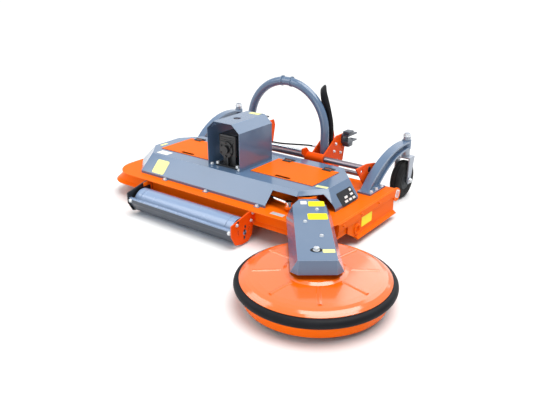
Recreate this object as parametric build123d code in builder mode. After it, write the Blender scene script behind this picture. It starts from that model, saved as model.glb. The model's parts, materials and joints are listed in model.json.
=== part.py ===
from build123d import *
import math
import os

os.makedirs("parts", exist_ok=True)

# Mower with a swinging side disc. Millimetres; x to the right seen from behind, y forward
# to the tractor, z up from the ground. The deck's middle lies at x 0, y 0 while modelling.

# Deck pan, a pressed sheet tray open below
sheet = 5.0
deck_top = 200.0
deck_right = 918.0
deck_left = 862.0
deck_rear = 435.0
deck_front = 420.0
deck_corner = 190.0
deck_cut_x = 215.0
deck_cut_y = 115.0
wall_inset = 3.0
rear_overhang = 45.0
skirt_foot = 122.0
lip_foot = 100.0
lip_flare = 18.0
left_flare = 85.0

# Rotors under the deck and their belt drive
rotor_reach = 275.0
rotor_pitch = 530.0
rotor_centre_y = -95.0
rotor_side_y = 105.0
blade_height = 112.0
blade_width = 62.0
blade_thick = 8.0
spindle_r = 20.0
housing_r = 50.0
flange_r = 85.0
flange_thick = 12.0
housing_top = 228.0
housing_low = 152.0
pulley_r = 74.0
pulley_rim = 9.0
belt_thick = 8.0
belt_high = 20.0
belt_low_z = 238.0
belt_step = 28.0
running_gap = 0.05
seat_gap = 0.3

# Belt hood, a hollow eight-sided cover on the deck
hood_sheet = 3.0
hood_top = 320.0
hood_lip = 17.0
hood_half = 740.0
hood_rear = 250.0
hood_front = 265.0
hood_cut = (120.0, 140.0)
hood_foot_half = 818.0
hood_foot_rear = 353.0
hood_foot_front = 300.0
hood_foot_cut = (185.0, 183.0)
notch_left = 450.0
notch_front = -152.0
notch_top = 293.0

# Lids in the hood
lid_near = 170.0
lid_far = 645.0
lid_rear = -140.0
lid_front = 165.0
lid_thick = 4.0
lid_overlap = 16.0
hinge_r = 6.0
hinge_long = 46.0

# Gearbox, its guard and the input shaft
guard_half = 135.0
guard_top_half = 76.0
guard_rear = -205.0
guard_front = 135.0
guard_side_top = 570.0
guard_top = 622.0
gearbox_half = 75.0
gearbox_length = 150.0
gearbox_neck = 72.0
gearbox_neck_half = 52.0
gearbox_high = 205.0
gearbox_foot = 10.0
input_z = 440.0
input_r = 17.5
journal_r = 20.0
input_mouth = 122.0
snout_r = 46.0
snout_long = 62.0

# Rear roller
roller_r = 80.0
roller_y = -490.0
roller_left = -475.0
roller_right = 360.0
roller_wall = 6.0
roller_collar = 46.0
roller_groove = 8.0
roller_axle_r = 15.0
left_plate_x = -498.0
right_plate_x = 395.0
plate_thick = 8.0
scraper_y = -600.0
scraper_bend = 92.0
scraper_low = 32.0
scraper_top = 124.0

# Castors at the front corners
castor_right_x = 800.0
castor_left_inset = 100.0
castor_left_x = castor_left_inset - hood_foot_half
castor_y = 810.0
castor_trail = 30.0
tyre_r = 135.0
tyre_width = 70.0
tyre_shoulder = 22.0
rim_r = 70.0
axle_r = 10.0
fork_gap = 12.0
fork_plate = 8.0
fork_top = 300.0
fork_deep = 84.0
fork_rear = 50.0
fork_ahead = 34.0
fork_narrow = 24.0
fork_tip = 10.0
fork_below = 26.0
axle_past = 6.0
castor_spindle_r = 17.5
head_r = 32.0
head_low = 352.0
head_top = 415.0
arm_half = 30.0
arm_web = 14.0
arm_flange = 13.0
arm_back_mid = (432.0, 350.0)
arm_belly_mid = (560.0, 318.0)
arm_belly_foot = (368.0, 206.0)
arm_foot_clear = 4.5
arm_foot_rear_right = 200.0
arm_foot_shift = 12.0
arm_foot_front = 400.0
arm_foot_wide = 96.0
arm_foot_past = 22.0
arm_foot_thick = 12.0

# Side shift frame with the hitch
shift_x = 25.0
bar_y = 360.0
bar_z = 312.0
bar_r = 20.0
lower_bar_y = 455.0
lower_bar_z = 226.0
lower_bar_r = 16.0
bracket_right_x = 752.0
bracket_left_x = -566.0
bracket_thick = 10.0
bracket_clear = 4.0
bracket_tip = ((440.0, 336.0), (490.0, 250.0), (478.0, 200.0))
bracket_right_back = ((318.0, 200.0), (190.0, 357.0), (330.0, 357.0))
bracket_hole = (262.0, 322.0)
bracket_hole_r = 16.0
bracket_drop = 10.0
cylinder_seat = 24.0
hitch_rear = (325.0, 290.0)
hitch_head = ((550.0, 430.0), (660.0, 430.0), (674.0, 385.0), (642.0, 236.0))
hitch_keel = ((430.0, 200.0), (345.0, 272.0))
saddle_ahead = 50.0
saddle_behind = 36.0
saddle_wall = 2.0
pair_inner = 268.0
pair_outer = 362.0
hitch_plate = 10.0
sleeve_wall = 13.0
lower_sleeve_wall = 11.0
cross_r = 24.0
cross_y = 500.0
cross_z = 190.0
hoop_r = 30.0
hoop_y = 460.0
hoop_bend = 322.0
hoop_top = 785.0
hoop_foot = 264.0
cylinder_y = 315.0
cylinder_z = 356.0
cylinder_r = 21.0
cylinder_bore = 16.0
rod_r = 11.0
shift_barrel_left = -540.0
shift_barrel_right = -160.0
link_y = 640.0
link_eye_y = 705.0
link_eye_r = 11.2
link_z = 398.0

# Swing arm with the feeler disc
pivot_x = 650.0
pivot_y = -200.0
pivot_r = 35.0
disc_x = 1090.0
disc_y = -779.0
arm_low = 222.0
arm_high = 262.0
arm_width = 110.0
hub_r = 58.0
hub_top = 284.0
cover_top = 288.0
cover_low = 216.0
cover_top_half = 95.0
cover_low_half = 129.0
cover_start = 74.0
cover_mouth_in = 42.0
cover_mouth_long = 90.0
cover_past_disc = 121.0
cover_corner = 34.0
eye_x = -60.0
eye_y = -105.0
barrel_x = 150.0
barrel_y = -231.0
swing_z = 249.0
ring_major = 380.0
ring_r = 25.0
ring_z = 119.0
pan_sheet = 4.0
pan_top = 190.0
pan_low = 34.0
pan_low_r = 362.0
boss_r = 150.0
disc_spindle_r = 45.0
disc_shaft_r = 17.5
disc_rotor_reach = 325.0

# Reference point of the kept frame: the middle of the overall outline, on the ground
arm_reach = math.hypot(disc_x - pivot_x, disc_y - pivot_y)
arm_angle = math.degrees(math.atan2(disc_y - pivot_y, disc_x - pivot_x))
skirt_left = deck_left + left_flare
outline_left = -(skirt_left + lip_flare)
outline_right = disc_x + ring_major + ring_r
outline_rear = disc_y - ring_major - ring_r
outline_front = castor_y - castor_trail + tyre_r
frame_x = (outline_left + outline_right) / 2
frame_y = (outline_rear + outline_front) / 2


def keep(shape, name):
    """Move a finished piece to the kept frame, label it and write its file."""
    placed = shape.moved(Location((-frame_x, -frame_y, 0)))
    placed.label = name
    export_step(placed, f"parts/{name}.step")


def upright(y):
    """Plane facing backwards at y, so that a sketch reads as x to the right and z up."""
    return Plane(origin=(0, y, 0), x_dir=(1, 0, 0), z_dir=(0, -1, 0))


def sideways(x):
    """Plane facing right at x, so that a sketch reads as y forward and z up."""
    return Plane(origin=(x, 0, 0), x_dir=(0, 1, 0), z_dir=(1, 0, 0))


# Deck pan
def deck_outline(left, right, rear, front, corner):
    """Outline of the tray: rounded on the left, its rear right corner cut off."""
    Polygon(
        (-left, -rear),
        (right - deck_cut_x, -rear),
        (right, -rear + deck_cut_y),
        (right, front),
        (-left, front),
        align=None,
    )
    fillet(vertices().group_by(Axis.X)[0], corner)


def skirt_levels(inset):
    """Heights and outlines of the skirt, from the plate down to the flared lip."""
    right = deck_right - wall_inset - inset
    front = deck_front - wall_inset - inset
    rear = deck_rear - rear_overhang - inset
    corner = deck_corner - inset
    return (
        (deck_top - sheet, (deck_left - wall_inset - inset, right, rear, front, corner)),
        (skirt_foot, (skirt_left - inset, right, rear, front, corner)),
        (lip_foot, (skirt_left + lip_flare - inset, right, rear + lip_flare, front, corner)),
    )


rotor_places = {
    "left": (-rotor_pitch, rotor_side_y),
    "centre": (0.0, rotor_centre_y),
    "right": (rotor_pitch, rotor_side_y),
}

with BuildPart() as deck_pan:
    for height, outline in skirt_levels(0):
        with BuildSketch(Plane.XY.offset(height)):
            deck_outline(*outline)
    loft(ruled=True)
    for height, outline in skirt_levels(sheet):
        with BuildSketch(Plane.XY.offset(height)):
            deck_outline(*outline)
    loft(ruled=True, mode=Mode.SUBTRACT)
    with BuildSketch(Plane.XY.offset(deck_top - sheet)):
        deck_outline(deck_left, deck_right, deck_rear, deck_front, deck_corner)
    extrude(amount=sheet)
    with BuildSketch(Plane.XY.offset(deck_top)):
        with Locations(*rotor_places.values()):
            Circle(housing_r + seat_gap)
    extrude(amount=-sheet, mode=Mode.SUBTRACT)
keep(deck_pan.part, "deck_pan")


# Side skid on the right: a rail with a rounded lug, a panel bent outwards and a lifting ring
skid_rear = -185.0
skid_toe_rear = -95.0
skid_front = 402.0
skid_thick = 8.0
skid_foot = 34.0
skid_bend = 10.0
skid_heel = 66.0
skid_toe = 24.0
skid_lip = 6.0
rail_rear = -300.0
rail_low = 156.0
rail_thick = 16.0
lug_y = 430.0
lug_r = 44.0
lug_root = 60.0
lug_drop = 28.0
lug_hole_r = 5.0
lifting_ring_y = -84.0
lifting_ring_z = 98.0
lifting_ring_r = 27.0
lifting_rod_r = 7.0

with BuildPart() as side_skid:
    with BuildSketch(sideways(deck_right)):
        Polygon(
            (skid_rear, rail_low),
            (skid_rear, skid_foot + skid_heel),
            (skid_toe_rear, skid_foot + skid_bend),
            (skid_front, skid_foot + skid_bend),
            (skid_front, rail_low),
            align=None,
        )
    extrude(amount=skid_thick)
    with BuildSketch(upright(skid_toe_rear)):
        Polygon(
            (deck_right, skid_foot + skid_toe),
            (deck_right + skid_thick, skid_foot + skid_toe),
            (deck_right + skid_thick + skid_toe, skid_foot + skid_lip),
            (deck_right + skid_thick + skid_toe - skid_lip, skid_foot),
            (deck_right, skid_foot + skid_bend),
            align=None,
        )
    extrude(amount=skid_toe_rear - skid_front)
    with BuildSketch(sideways(deck_right)):
        Polygon(
            (rail_rear, rail_low),
            (rail_rear, deck_top),
            (lug_y, deck_top),
            (lug_y, rail_low - lug_drop),
            (lug_y - lug_root, rail_low),
            align=None,
        )
        with Locations((lug_y, deck_top - lug_r)):
            Circle(lug_r)
            with PolarLocations(lug_r - 12, 3, start_angle=-50, angular_range=110):
                Circle(lug_hole_r, mode=Mode.SUBTRACT)
    extrude(amount=rail_thick)
    with BuildSketch(Plane.XY.offset(lifting_ring_z)):
        with Locations((deck_right + skid_thick + lifting_rod_r - 3, lifting_ring_y + lifting_ring_r)):
            Circle(lifting_rod_r)
    revolve(axis=Axis((0, lifting_ring_y, lifting_ring_z), (1, 0, 0)))
keep(side_skid.part, "side_skid")


# Belt hood
def hood_outline(half, rear, front, cut, inset):
    """Eight-sided outline, cut at its corners."""
    half = half - inset
    rear = rear - inset
    front = front - inset
    cut_x, cut_y = cut
    Polygon(
        (-half + cut_x, -rear),
        (half - cut_x, -rear),
        (half, -rear + cut_y),
        (half, front - cut_y),
        (half - cut_x, front),
        (-half + cut_x, front),
        (-half, front - cut_y),
        (-half, -rear + cut_y),
        align=None,
    )


with BuildPart() as belt_hood:
    for inset, mode in ((0.0, Mode.ADD), (hood_sheet, Mode.SUBTRACT)):
        with BuildSketch(Plane.XY.offset(deck_top)):
            hood_outline(hood_foot_half, hood_foot_rear, hood_foot_front, hood_foot_cut, inset)
        extrude(amount=hood_lip, mode=mode)
        with BuildSketch(Plane.XY.offset(deck_top + hood_lip)):
            hood_outline(hood_foot_half, hood_foot_rear, hood_foot_front, hood_foot_cut, inset)
        with BuildSketch(Plane.XY.offset(hood_top - inset)):
            hood_outline(hood_half, hood_rear, hood_front, hood_cut, inset)
        loft(ruled=True, mode=mode)
    with BuildSketch(Plane.XY.offset(hood_top)):
        for side in (-1, 1):
            with Locations((side * (lid_near + lid_far) / 2, (lid_rear + lid_front) / 2)):
                Rectangle(
                    lid_far - lid_near - 2 * lid_overlap,
                    lid_front - lid_rear - 2 * lid_overlap,
                )
        with Locations((0, rotor_centre_y)):
            Circle(spindle_r + 10)
    extrude(amount=-hood_sheet, mode=Mode.SUBTRACT)
    with BuildSketch(Plane.XY.offset(deck_top)):
        Polygon(
            (notch_left, notch_front),
            (notch_left, -deck_rear),
            (deck_right, -deck_rear),
            (deck_right, notch_front),
            align=None,
        )
    extrude(amount=notch_top - deck_top, mode=Mode.SUBTRACT)
keep(belt_hood.part, "belt_hood")


# Lids, each hinged at its front edge
hinge_y = lid_front + hinge_r + 2
hinge_z = hood_top + hinge_r + seat_gap
lid_low = hood_top + seat_gap


def build_lid(side):
    middle = side * (lid_near + lid_far) / 2
    with BuildPart() as lid:
        with BuildSketch(Plane.XY.offset(lid_low)):
            with Locations((middle, (lid_rear + lid_front) / 2)):
                Rectangle(lid_far - lid_near, lid_front - lid_rear)
        extrude(amount=lid_thick)
        for offset_x in (-1, 1):
            knuckle = middle + offset_x * (lid_far - lid_near) * 0.33
            with BuildSketch(sideways(knuckle - hinge_long / 2)):
                with Locations((hinge_y, hinge_z)):
                    Circle(hinge_r)
                Polygon(
                    (lid_front - 20, lid_low + lid_thick),
                    (hinge_y, hinge_z + hinge_r),
                    (hinge_y, hinge_z - hinge_r / 2),
                    (lid_front - 20, lid_low + lid_thick / 2),
                    align=None,
                )
            extrude(amount=hinge_long)
        with BuildSketch(Plane.XY.offset(lid_low + lid_thick)):
            with Locations((middle, lid_rear + 22)):
                SlotOverall(120, 26)
        extrude(amount=-lid_thick, mode=Mode.SUBTRACT)
    return lid


for side, name in ((-1, "left"), (1, "right")):
    keep(build_lid(side).part, f"lid_{name}")


# Gearbox pedestal: two walls and a top plate under the hood, open to the belts
pedestal_half = 95.0
pedestal_wall = 6.0
pedestal_back = 108.0
pedestal_ahead = 140.0
pedestal_top = 8.0
with BuildPart() as gearbox_pedestal:
    for wall_y in (rotor_centre_y - pedestal_back, rotor_centre_y + pedestal_ahead):
        with BuildSketch(Plane.XY.offset(deck_top)):
            with Locations((0, wall_y)):
                Rectangle(2 * pedestal_half, pedestal_wall)
        extrude(amount=hood_top - hood_sheet - deck_top)
    with BuildSketch(Plane.XY.offset(hood_top - hood_sheet)):
        with Locations((0, rotor_centre_y + (pedestal_ahead - pedestal_back) / 2)):
            Rectangle(2 * pedestal_half, pedestal_ahead + pedestal_back + pedestal_wall)
        with Locations((0, rotor_centre_y)):
            Circle(spindle_r + 10, mode=Mode.SUBTRACT)
    extrude(amount=-pedestal_top)
keep(gearbox_pedestal.part, "gearbox_pedestal")

with BuildPart() as gearbox:
    with BuildSketch(Plane.XY.offset(hood_top)):
        with Locations((0, rotor_centre_y)):
            Rectangle(2 * gearbox_half + 44, gearbox_length + 24)
        fillet(vertices(), 14)
    extrude(amount=gearbox_foot)
    with BuildSketch(Plane.XY.offset(hood_top + gearbox_foot)):
        with Locations((0, rotor_centre_y)):
            Rectangle(2 * gearbox_neck_half, 2 * gearbox_neck_half)
            with PolarLocations(0, 4):
                Rectangle(2 * gearbox_half - 6, 10)
    extrude(amount=gearbox_neck)
    with BuildSketch(Plane.XY.offset(hood_top + gearbox_foot + gearbox_neck)):
        with Locations((0, rotor_centre_y)):
            Rectangle(2 * gearbox_half, gearbox_length)
        fillet(vertices(), 22)
    extrude(amount=gearbox_high - gearbox_neck)
    fillet(edges().group_by(Axis.Z)[-1], 12)
    with BuildSketch(upright(rotor_centre_y + gearbox_length / 2)):
        with Locations((0, input_z)):
            Circle(snout_r)
    extrude(amount=-snout_long)
    with BuildSketch(upright(rotor_centre_y - gearbox_length / 2)):
        with Locations((0, input_z)):
            Circle(snout_r + 8)
    extrude(amount=10)
    with BuildSketch(upright(rotor_centre_y + gearbox_length / 2 + snout_long)):
        with Locations((0, input_z)):
            Circle(journal_r + running_gap)
    extrude(amount=snout_long, mode=Mode.SUBTRACT)
keep(gearbox.part, "gearbox")

snout_end = rotor_centre_y + gearbox_length / 2 + snout_long
with BuildPart() as input_shaft:
    with BuildSketch(upright(input_mouth)):
        with Locations((0, input_z)):
            Circle(input_r)
    extrude(amount=input_mouth - snout_end)
    with BuildSketch(upright(snout_end)):
        with Locations((0, input_z)):
            Circle(journal_r)
    extrude(amount=snout_long - seat_gap)
keep(input_shaft.part, "input_shaft")

guard_hole_r = 26.0
guard_hole_y = -60.0
guard_outline = (
    (-guard_half, hood_top),
    (-guard_half, guard_side_top),
    (-guard_top_half, guard_top),
    (guard_top_half, guard_top),
    (guard_half, guard_side_top),
    (guard_half, hood_top),
)
with BuildPart() as gearbox_guard:
    with BuildSketch(upright(guard_rear)):
        Polygon(*guard_outline, align=None)
        Polygon(
            (-guard_half + hood_sheet, hood_top),
            (-guard_half + hood_sheet, guard_side_top - 1),
            (-guard_top_half + 1, guard_top - hood_sheet),
            (guard_top_half - 1, guard_top - hood_sheet),
            (guard_half - hood_sheet, guard_side_top - 1),
            (guard_half - hood_sheet, hood_top),
            align=None,
            mode=Mode.SUBTRACT,
        )
    extrude(amount=guard_rear - guard_front)
    with BuildSketch(Plane.XY.offset(guard_top)):
        with Locations((0, guard_hole_y)):
            Circle(guard_hole_r)
    extrude(amount=-20, mode=Mode.SUBTRACT)
keep(gearbox_guard.part, "gearbox_guard")


# Spindle housings, one solid at each rotor
with BuildPart() as spindle_housings:
    with BuildSketch(Plane.XY.offset(deck_top)):
        with Locations(*rotor_places.values()):
            Circle(flange_r)
    extrude(amount=flange_thick)
    with BuildSketch(Plane.XY.offset(housing_low)):
        with Locations(*rotor_places.values()):
            Circle(housing_r)
    extrude(amount=housing_top - housing_low)
    with BuildSketch(Plane.XY.offset(housing_low)):
        with Locations(*rotor_places.values()):
            Circle(spindle_r + running_gap)
    extrude(amount=housing_top - housing_low, mode=Mode.SUBTRACT)
keep(spindle_housings.part, "spindle_housings")


# Rotors: spindle, hub and a bar with two winged blades
carrier_r = 112.0
hub_low = blade_height + blade_thick
wing_long = 90.0
wing_rise = 26.0


def build_rotor(place, spindle_top):
    with BuildPart() as rotor:
        with BuildSketch(Plane.XY.offset(blade_height)):
            with Locations(place):
                Circle(spindle_r)
        extrude(amount=spindle_top - blade_height)
        with BuildSketch(Plane.XY.offset(hub_low)):
            with Locations(place):
                Circle(housing_r - 8)
        extrude(amount=housing_low - seat_gap - hub_low)
        with BuildSketch(Plane.XY.offset(hub_low)):
            with Locations(place):
                Circle(carrier_r)
        extrude(amount=6)
        with BuildSketch(Plane.XY.offset(blade_height)):
            with Locations(place):
                Rectangle(2 * rotor_reach - 6, blade_width)
                Circle(rotor_reach, mode=Mode.INTERSECT)
        extrude(amount=blade_thick)
        for turn in (0, 180):
            wing_plane = Plane(
                origin=(place[0], place[1], blade_height + blade_thick),
                x_dir=(math.cos(math.radians(turn)), math.sin(math.radians(turn)), 0),
                z_dir=(0, 0, 1),
            )
            with BuildSketch(wing_plane):
                with Locations((rotor_reach - wing_long / 2 - 14, -blade_width / 2 + 4)):
                    Rectangle(wing_long, 8)
            extrude(amount=wing_rise)
    return rotor


belt_levels = {"left": belt_low_z, "right": belt_low_z + belt_step}
spindle_tops = {
    "left": belt_levels["left"] + belt_high + 14,
    "centre": belt_levels["right"] + belt_high + 14,
    "right": belt_levels["right"] + belt_high + 14,
}
for name, place in rotor_places.items():
    keep(build_rotor(place, spindle_tops[name]).part, f"rotor_{name}")


# Pulleys: the centre one carries both belts
def build_pulley(place, levels):
    groove_r = pulley_r - pulley_rim
    low = min(levels) - 3
    with BuildPart() as pulley:
        with BuildSketch(Plane.XY.offset(low)):
            with Locations(place):
                Circle(groove_r)
        extrude(amount=max(levels) + belt_high + 3 - low)
        for level in levels:
            for rim_z in (level - 3, level + belt_high + seat_gap):
                with BuildSketch(Plane.XY.offset(rim_z)):
                    with Locations(place):
                        Circle(pulley_r)
                extrude(amount=3 - seat_gap)
        with BuildSketch(Plane.XY.offset(low)):
            with Locations(place):
                Circle(spindle_r)
        extrude(amount=max(levels) + belt_high + 3 - low, mode=Mode.SUBTRACT)
    return pulley


pulley_levels = {
    "left": (belt_levels["left"],),
    "centre": tuple(belt_levels.values()),
    "right": (belt_levels["right"],),
}
for name, place in rotor_places.items():
    keep(build_pulley(place, pulley_levels[name]).part, f"pulley_{name}")


# Drive belts: a loop round the centre pulley and a side pulley
def build_belt(side, level):
    inner_r = pulley_r - pulley_rim + seat_gap
    span = math.hypot(rotor_pitch, rotor_side_y - rotor_centre_y)
    belt_plane = Plane(
        origin=(side * rotor_pitch / 2, (rotor_side_y + rotor_centre_y) / 2, level),
        x_dir=(rotor_pitch, side * (rotor_side_y - rotor_centre_y), 0),
        z_dir=(0, 0, 1),
    )
    with BuildPart() as belt:
        with BuildSketch(belt_plane):
            SlotCenterToCenter(span, 2 * (inner_r + belt_thick))
            SlotCenterToCenter(span, 2 * inner_r, mode=Mode.SUBTRACT)
        extrude(amount=belt_high)
    return belt


for side, name in ((-1, "left"), (1, "right")):
    keep(build_belt(side, belt_levels[name]).part, f"belt_{name}")


# Rear roller between its plates
with BuildPart() as roller:
    with BuildSketch(sideways(roller_left)):
        with Locations((roller_y, roller_r)):
            Circle(roller_r)
            Circle(roller_r - roller_wall, mode=Mode.SUBTRACT)
    extrude(amount=roller_right - roller_left)
    for collar in (roller_left + roller_collar, roller_right - roller_collar - roller_groove):
        with BuildSketch(sideways(collar)):
            with Locations((roller_y, roller_r)):
                Circle(roller_r + 1)
                Circle(roller_r - roller_wall / 2, mode=Mode.SUBTRACT)
        extrude(amount=roller_groove, mode=Mode.SUBTRACT)
    for end in (roller_left + 4, roller_right - 4 - roller_wall):
        with BuildSketch(sideways(end)):
            with Locations((roller_y, roller_r)):
                Circle(roller_r - roller_wall / 2)
                with PolarLocations(46, 4):
                    Circle(12, mode=Mode.SUBTRACT)
        extrude(amount=roller_wall)
    with BuildSketch(sideways(left_plate_x)):
        with Locations((roller_y, roller_r)):
            Circle(roller_axle_r)
    extrude(amount=right_plate_x + plate_thick - left_plate_x)
    for start, end in (
        (left_plate_x + plate_thick + seat_gap, roller_left + 4),
        (roller_right - 4, right_plate_x - seat_gap),
    ):
        with BuildSketch(sideways(start)):
            with Locations((roller_y, roller_r)):
                Circle(roller_axle_r + 9)
        extrude(amount=end - start)
keep(roller.part, "roller")

rear_wall_y = -(deck_rear - rear_overhang)
plate_slots = ((roller_y - 58.0, 96.0), (roller_y + 42.0, 92.0))
plate_slot_long = 36.0
plate_slot_wide = 10.0


def build_roller_plate(x):
    with BuildPart() as plate:
        with BuildSketch(sideways(x)):
            Polygon(
                (rear_wall_y, deck_top - sheet),
                (rear_wall_y - 60, deck_top - sheet),
                (scraper_y - 8, scraper_top + 34),
                (scraper_y - 8, scraper_bend - 4),
                (roller_y - 84, scraper_low - 6),
                (roller_y - 30, 12),
                (roller_y + 30, 12),
                (roller_y + 68, 44),
                (rear_wall_y - 22, 104),
                (rear_wall_y - 22, skirt_foot + 4),
                (rear_wall_y, skirt_foot + 4),
                align=None,
            )
            with Locations((roller_y, roller_r)):
                Circle(roller_axle_r + running_gap, mode=Mode.SUBTRACT)
            with Locations(*plate_slots):
                SlotOverall(plate_slot_long, plate_slot_wide, rotation=90, mode=Mode.SUBTRACT)
        extrude(amount=plate_thick)
    return plate


keep(build_roller_plate(left_plate_x).part, "roller_plate_left")
keep(build_roller_plate(right_plate_x).part, "roller_plate_right")

scraper_sheet = 4.0
scraper_shelf = 20.0
scraper_run = 36.0
with BuildPart() as scraper_bar:
    with BuildSketch(sideways(left_plate_x + plate_thick)):
        Polygon(
            (scraper_y, scraper_top),
            (scraper_y + scraper_shelf, scraper_top),
            (scraper_y + scraper_shelf, scraper_top - scraper_sheet),
            (scraper_y + scraper_sheet, scraper_top - scraper_sheet),
            (scraper_y + scraper_sheet, scraper_bend + 1),
            (scraper_y + scraper_run + scraper_sheet, scraper_low + 2),
            (scraper_y + scraper_run, scraper_low),
            (scraper_y, scraper_bend),
            align=None,
        )
    extrude(amount=right_plate_x - left_plate_x - plate_thick)
keep(scraper_bar.part, "scraper_bar")


# Castors
def build_castor_arm(x, side, foot_rear):
    back_foot = (foot_rear + arm_foot_past, arm_belly_foot[1])
    recess = arm_half - arm_web / 2
    with BuildPart() as arm:
        for start, inset, amount, mode in (
            (x - arm_half, 0, 2 * arm_half, Mode.ADD),
            (x - arm_half, arm_flange, recess, Mode.SUBTRACT),
            (x + arm_half, arm_flange, -recess, Mode.SUBTRACT),
        ):
            with BuildSketch(sideways(start)):
                with BuildLine():
                    back = ThreePointArc(back_foot, arm_back_mid, (castor_y, head_top - 8))
                    tip = Line(back @ 1, (castor_y, head_low))
                    belly = ThreePointArc(tip @ 1, arm_belly_mid, arm_belly_foot)
                    Line(belly @ 1, back @ 0)
                make_face()
                if inset:
                    offset(amount=-inset, kind=Kind.INTERSECTION, mode=Mode.REPLACE)
            extrude(amount=amount, mode=mode)
        with BuildSketch(Plane.XY.offset(deck_top)):
            with Locations((x + side * arm_foot_shift, (arm_foot_front + foot_rear) / 2)):
                Rectangle(arm_foot_wide, arm_foot_front - foot_rear)
        extrude(amount=arm_foot_thick)
        with BuildSketch(Plane.XY.offset(head_low)):
            with Locations((x, castor_y)):
                Circle(head_r)
        extrude(amount=head_top - head_low)
        with BuildSketch(Plane.XY.offset(head_low)):
            with Locations((x, castor_y)):
                Circle(castor_spindle_r + running_gap)
        extrude(amount=head_top - head_low, mode=Mode.SUBTRACT)
    return arm


wheel_y = castor_y - castor_trail
fork_half = tyre_width / 2 + fork_gap


def build_castor_fork(x):
    with BuildPart() as fork:
        with BuildSketch(Plane.XY.offset(fork_top - fork_plate)):
            with Locations((x, castor_y - (fork_rear - fork_ahead) / 2)):
                Rectangle(2 * (fork_half + fork_plate), fork_deep)
        extrude(amount=fork_plate)
        for inner in (x - fork_half - fork_plate, x + fork_half):
            with BuildSketch(sideways(inner)):
                Polygon(
                    (castor_y - fork_rear, fork_top),
                    (castor_y + fork_ahead, fork_top),
                    (wheel_y + fork_narrow, tyre_r - axle_past),
                    (wheel_y + fork_tip, tyre_r - fork_below),
                    (wheel_y - fork_tip, tyre_r - fork_below),
                    (wheel_y - fork_narrow, tyre_r - axle_past),
                    align=None,
                )
            extrude(amount=fork_plate)
        with BuildSketch(sideways(x - fork_half - fork_plate - axle_past)):
            with Locations((wheel_y, tyre_r)):
                Circle(axle_r)
        extrude(amount=2 * (fork_half + fork_plate + axle_past))
        with BuildSketch(Plane.XY.offset(fork_top)):
            with Locations((x, castor_y)):
                Circle(head_r - 4)
        extrude(amount=head_low - seat_gap - fork_top)
        with BuildSketch(Plane.XY.offset(fork_top)):
            with Locations((x, castor_y)):
                Circle(castor_spindle_r)
        extrude(amount=head_top + 48 - fork_top)
        with BuildSketch(Plane.XY.offset(head_top + seat_gap)):
            with Locations((x, castor_y)):
                Circle(castor_spindle_r + 8)
        extrude(amount=26)
    return fork


def build_castor_rim(x):
    with BuildPart() as rim:
        with BuildSketch(sideways(x - tyre_width / 2 + 4)):
            with Locations((wheel_y, tyre_r)):
                Circle(rim_r)
                Circle(axle_r + running_gap, mode=Mode.SUBTRACT)
        extrude(amount=tyre_width - 8)
        with BuildSketch(sideways(x - fork_half + seat_gap)):
            with Locations((wheel_y, tyre_r)):
                Circle(axle_r + 12)
                Circle(axle_r + running_gap, mode=Mode.SUBTRACT)
        extrude(amount=2 * (fork_half - seat_gap))
    return rim


def build_castor_tyre(x):
    with BuildPart() as tyre:
        with BuildSketch(upright(wheel_y)):
            with Locations((x, tyre_r + (tyre_r + rim_r) / 2)):
                Rectangle(tyre_width, tyre_r - rim_r - 0.2)
            fillet(vertices().group_by(Axis.Z)[-1], tyre_shoulder)
        revolve(axis=Axis((x, wheel_y, tyre_r), (1, 0, 0)))
    return tyre


hood_corner_y = hood_foot_front - hood_foot_cut[1]
corner_slope = hood_foot_cut[1] / hood_foot_cut[0]
foot_inner_x = castor_left_x - arm_foot_shift + arm_foot_wide / 2
arm_foot_rear_left = hood_corner_y + (foot_inner_x + hood_foot_half) * corner_slope + arm_foot_clear
castors = (
    (-1, castor_left_x, arm_foot_rear_left, "left"),
    (1, castor_right_x, arm_foot_rear_right, "right"),
)
for side, x, foot_rear, name in castors:
    keep(build_castor_arm(x, side, foot_rear).part, f"castor_arm_{name}")
    keep(build_castor_fork(x).part, f"castor_fork_{name}")
    keep(build_castor_rim(x).part, f"castor_rim_{name}")
    keep(build_castor_tyre(x).part, f"castor_tyre_{name}")


# Side shift: brackets on the deck, two bars between them
def build_slide_bracket(x, back):
    """A plate across the deck with the bars' holes; back lists its corners on the hood's side."""
    with BuildPart() as bracket:
        with BuildSketch(sideways(x - bracket_thick / 2)):
            Polygon(
                *back,
                *bracket_tip,
                (deck_front + bracket_clear, deck_top - bracket_drop),
                (deck_front + bracket_clear, deck_top),
                align=None,
            )
            with Locations((bar_y, bar_z)):
                Circle(bar_r + running_gap, mode=Mode.SUBTRACT)
            with Locations((lower_bar_y, lower_bar_z)):
                Circle(lower_bar_r + running_gap, mode=Mode.SUBTRACT)
        extrude(amount=bracket_thick)
    return bracket


bracket_left_back = (
    (hood_foot_front + bracket_clear, deck_top),
    (hood_foot_front + bracket_clear, deck_top + hood_lip + bracket_clear / 2),
    (hood_front + 2 * bracket_clear, hood_top),
    (cylinder_y - cylinder_seat, cylinder_z + cylinder_seat),
    (cylinder_y + cylinder_seat, cylinder_z + cylinder_seat),
)
keep(build_slide_bracket(bracket_left_x, bracket_left_back).part, "slide_bracket_left")
with BuildPart() as slide_bracket_right:
    add(build_slide_bracket(bracket_right_x, bracket_right_back).part)
    with BuildSketch(sideways(bracket_right_x - bracket_thick / 2)):
        with Locations(bracket_hole):
            Circle(bracket_hole_r)
    extrude(amount=bracket_thick, mode=Mode.SUBTRACT)
keep(slide_bracket_right.part, "slide_bracket_right")

with BuildPart() as slide_bars:
    with BuildSketch(sideways(bracket_left_x - bracket_thick / 2)):
        with Locations((bar_y, bar_z)):
            Circle(bar_r)
        with Locations((lower_bar_y, lower_bar_z)):
            Circle(lower_bar_r)
    extrude(amount=bracket_right_x - bracket_left_x + bracket_thick)
keep(slide_bars.part, "slide_bars")


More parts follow.
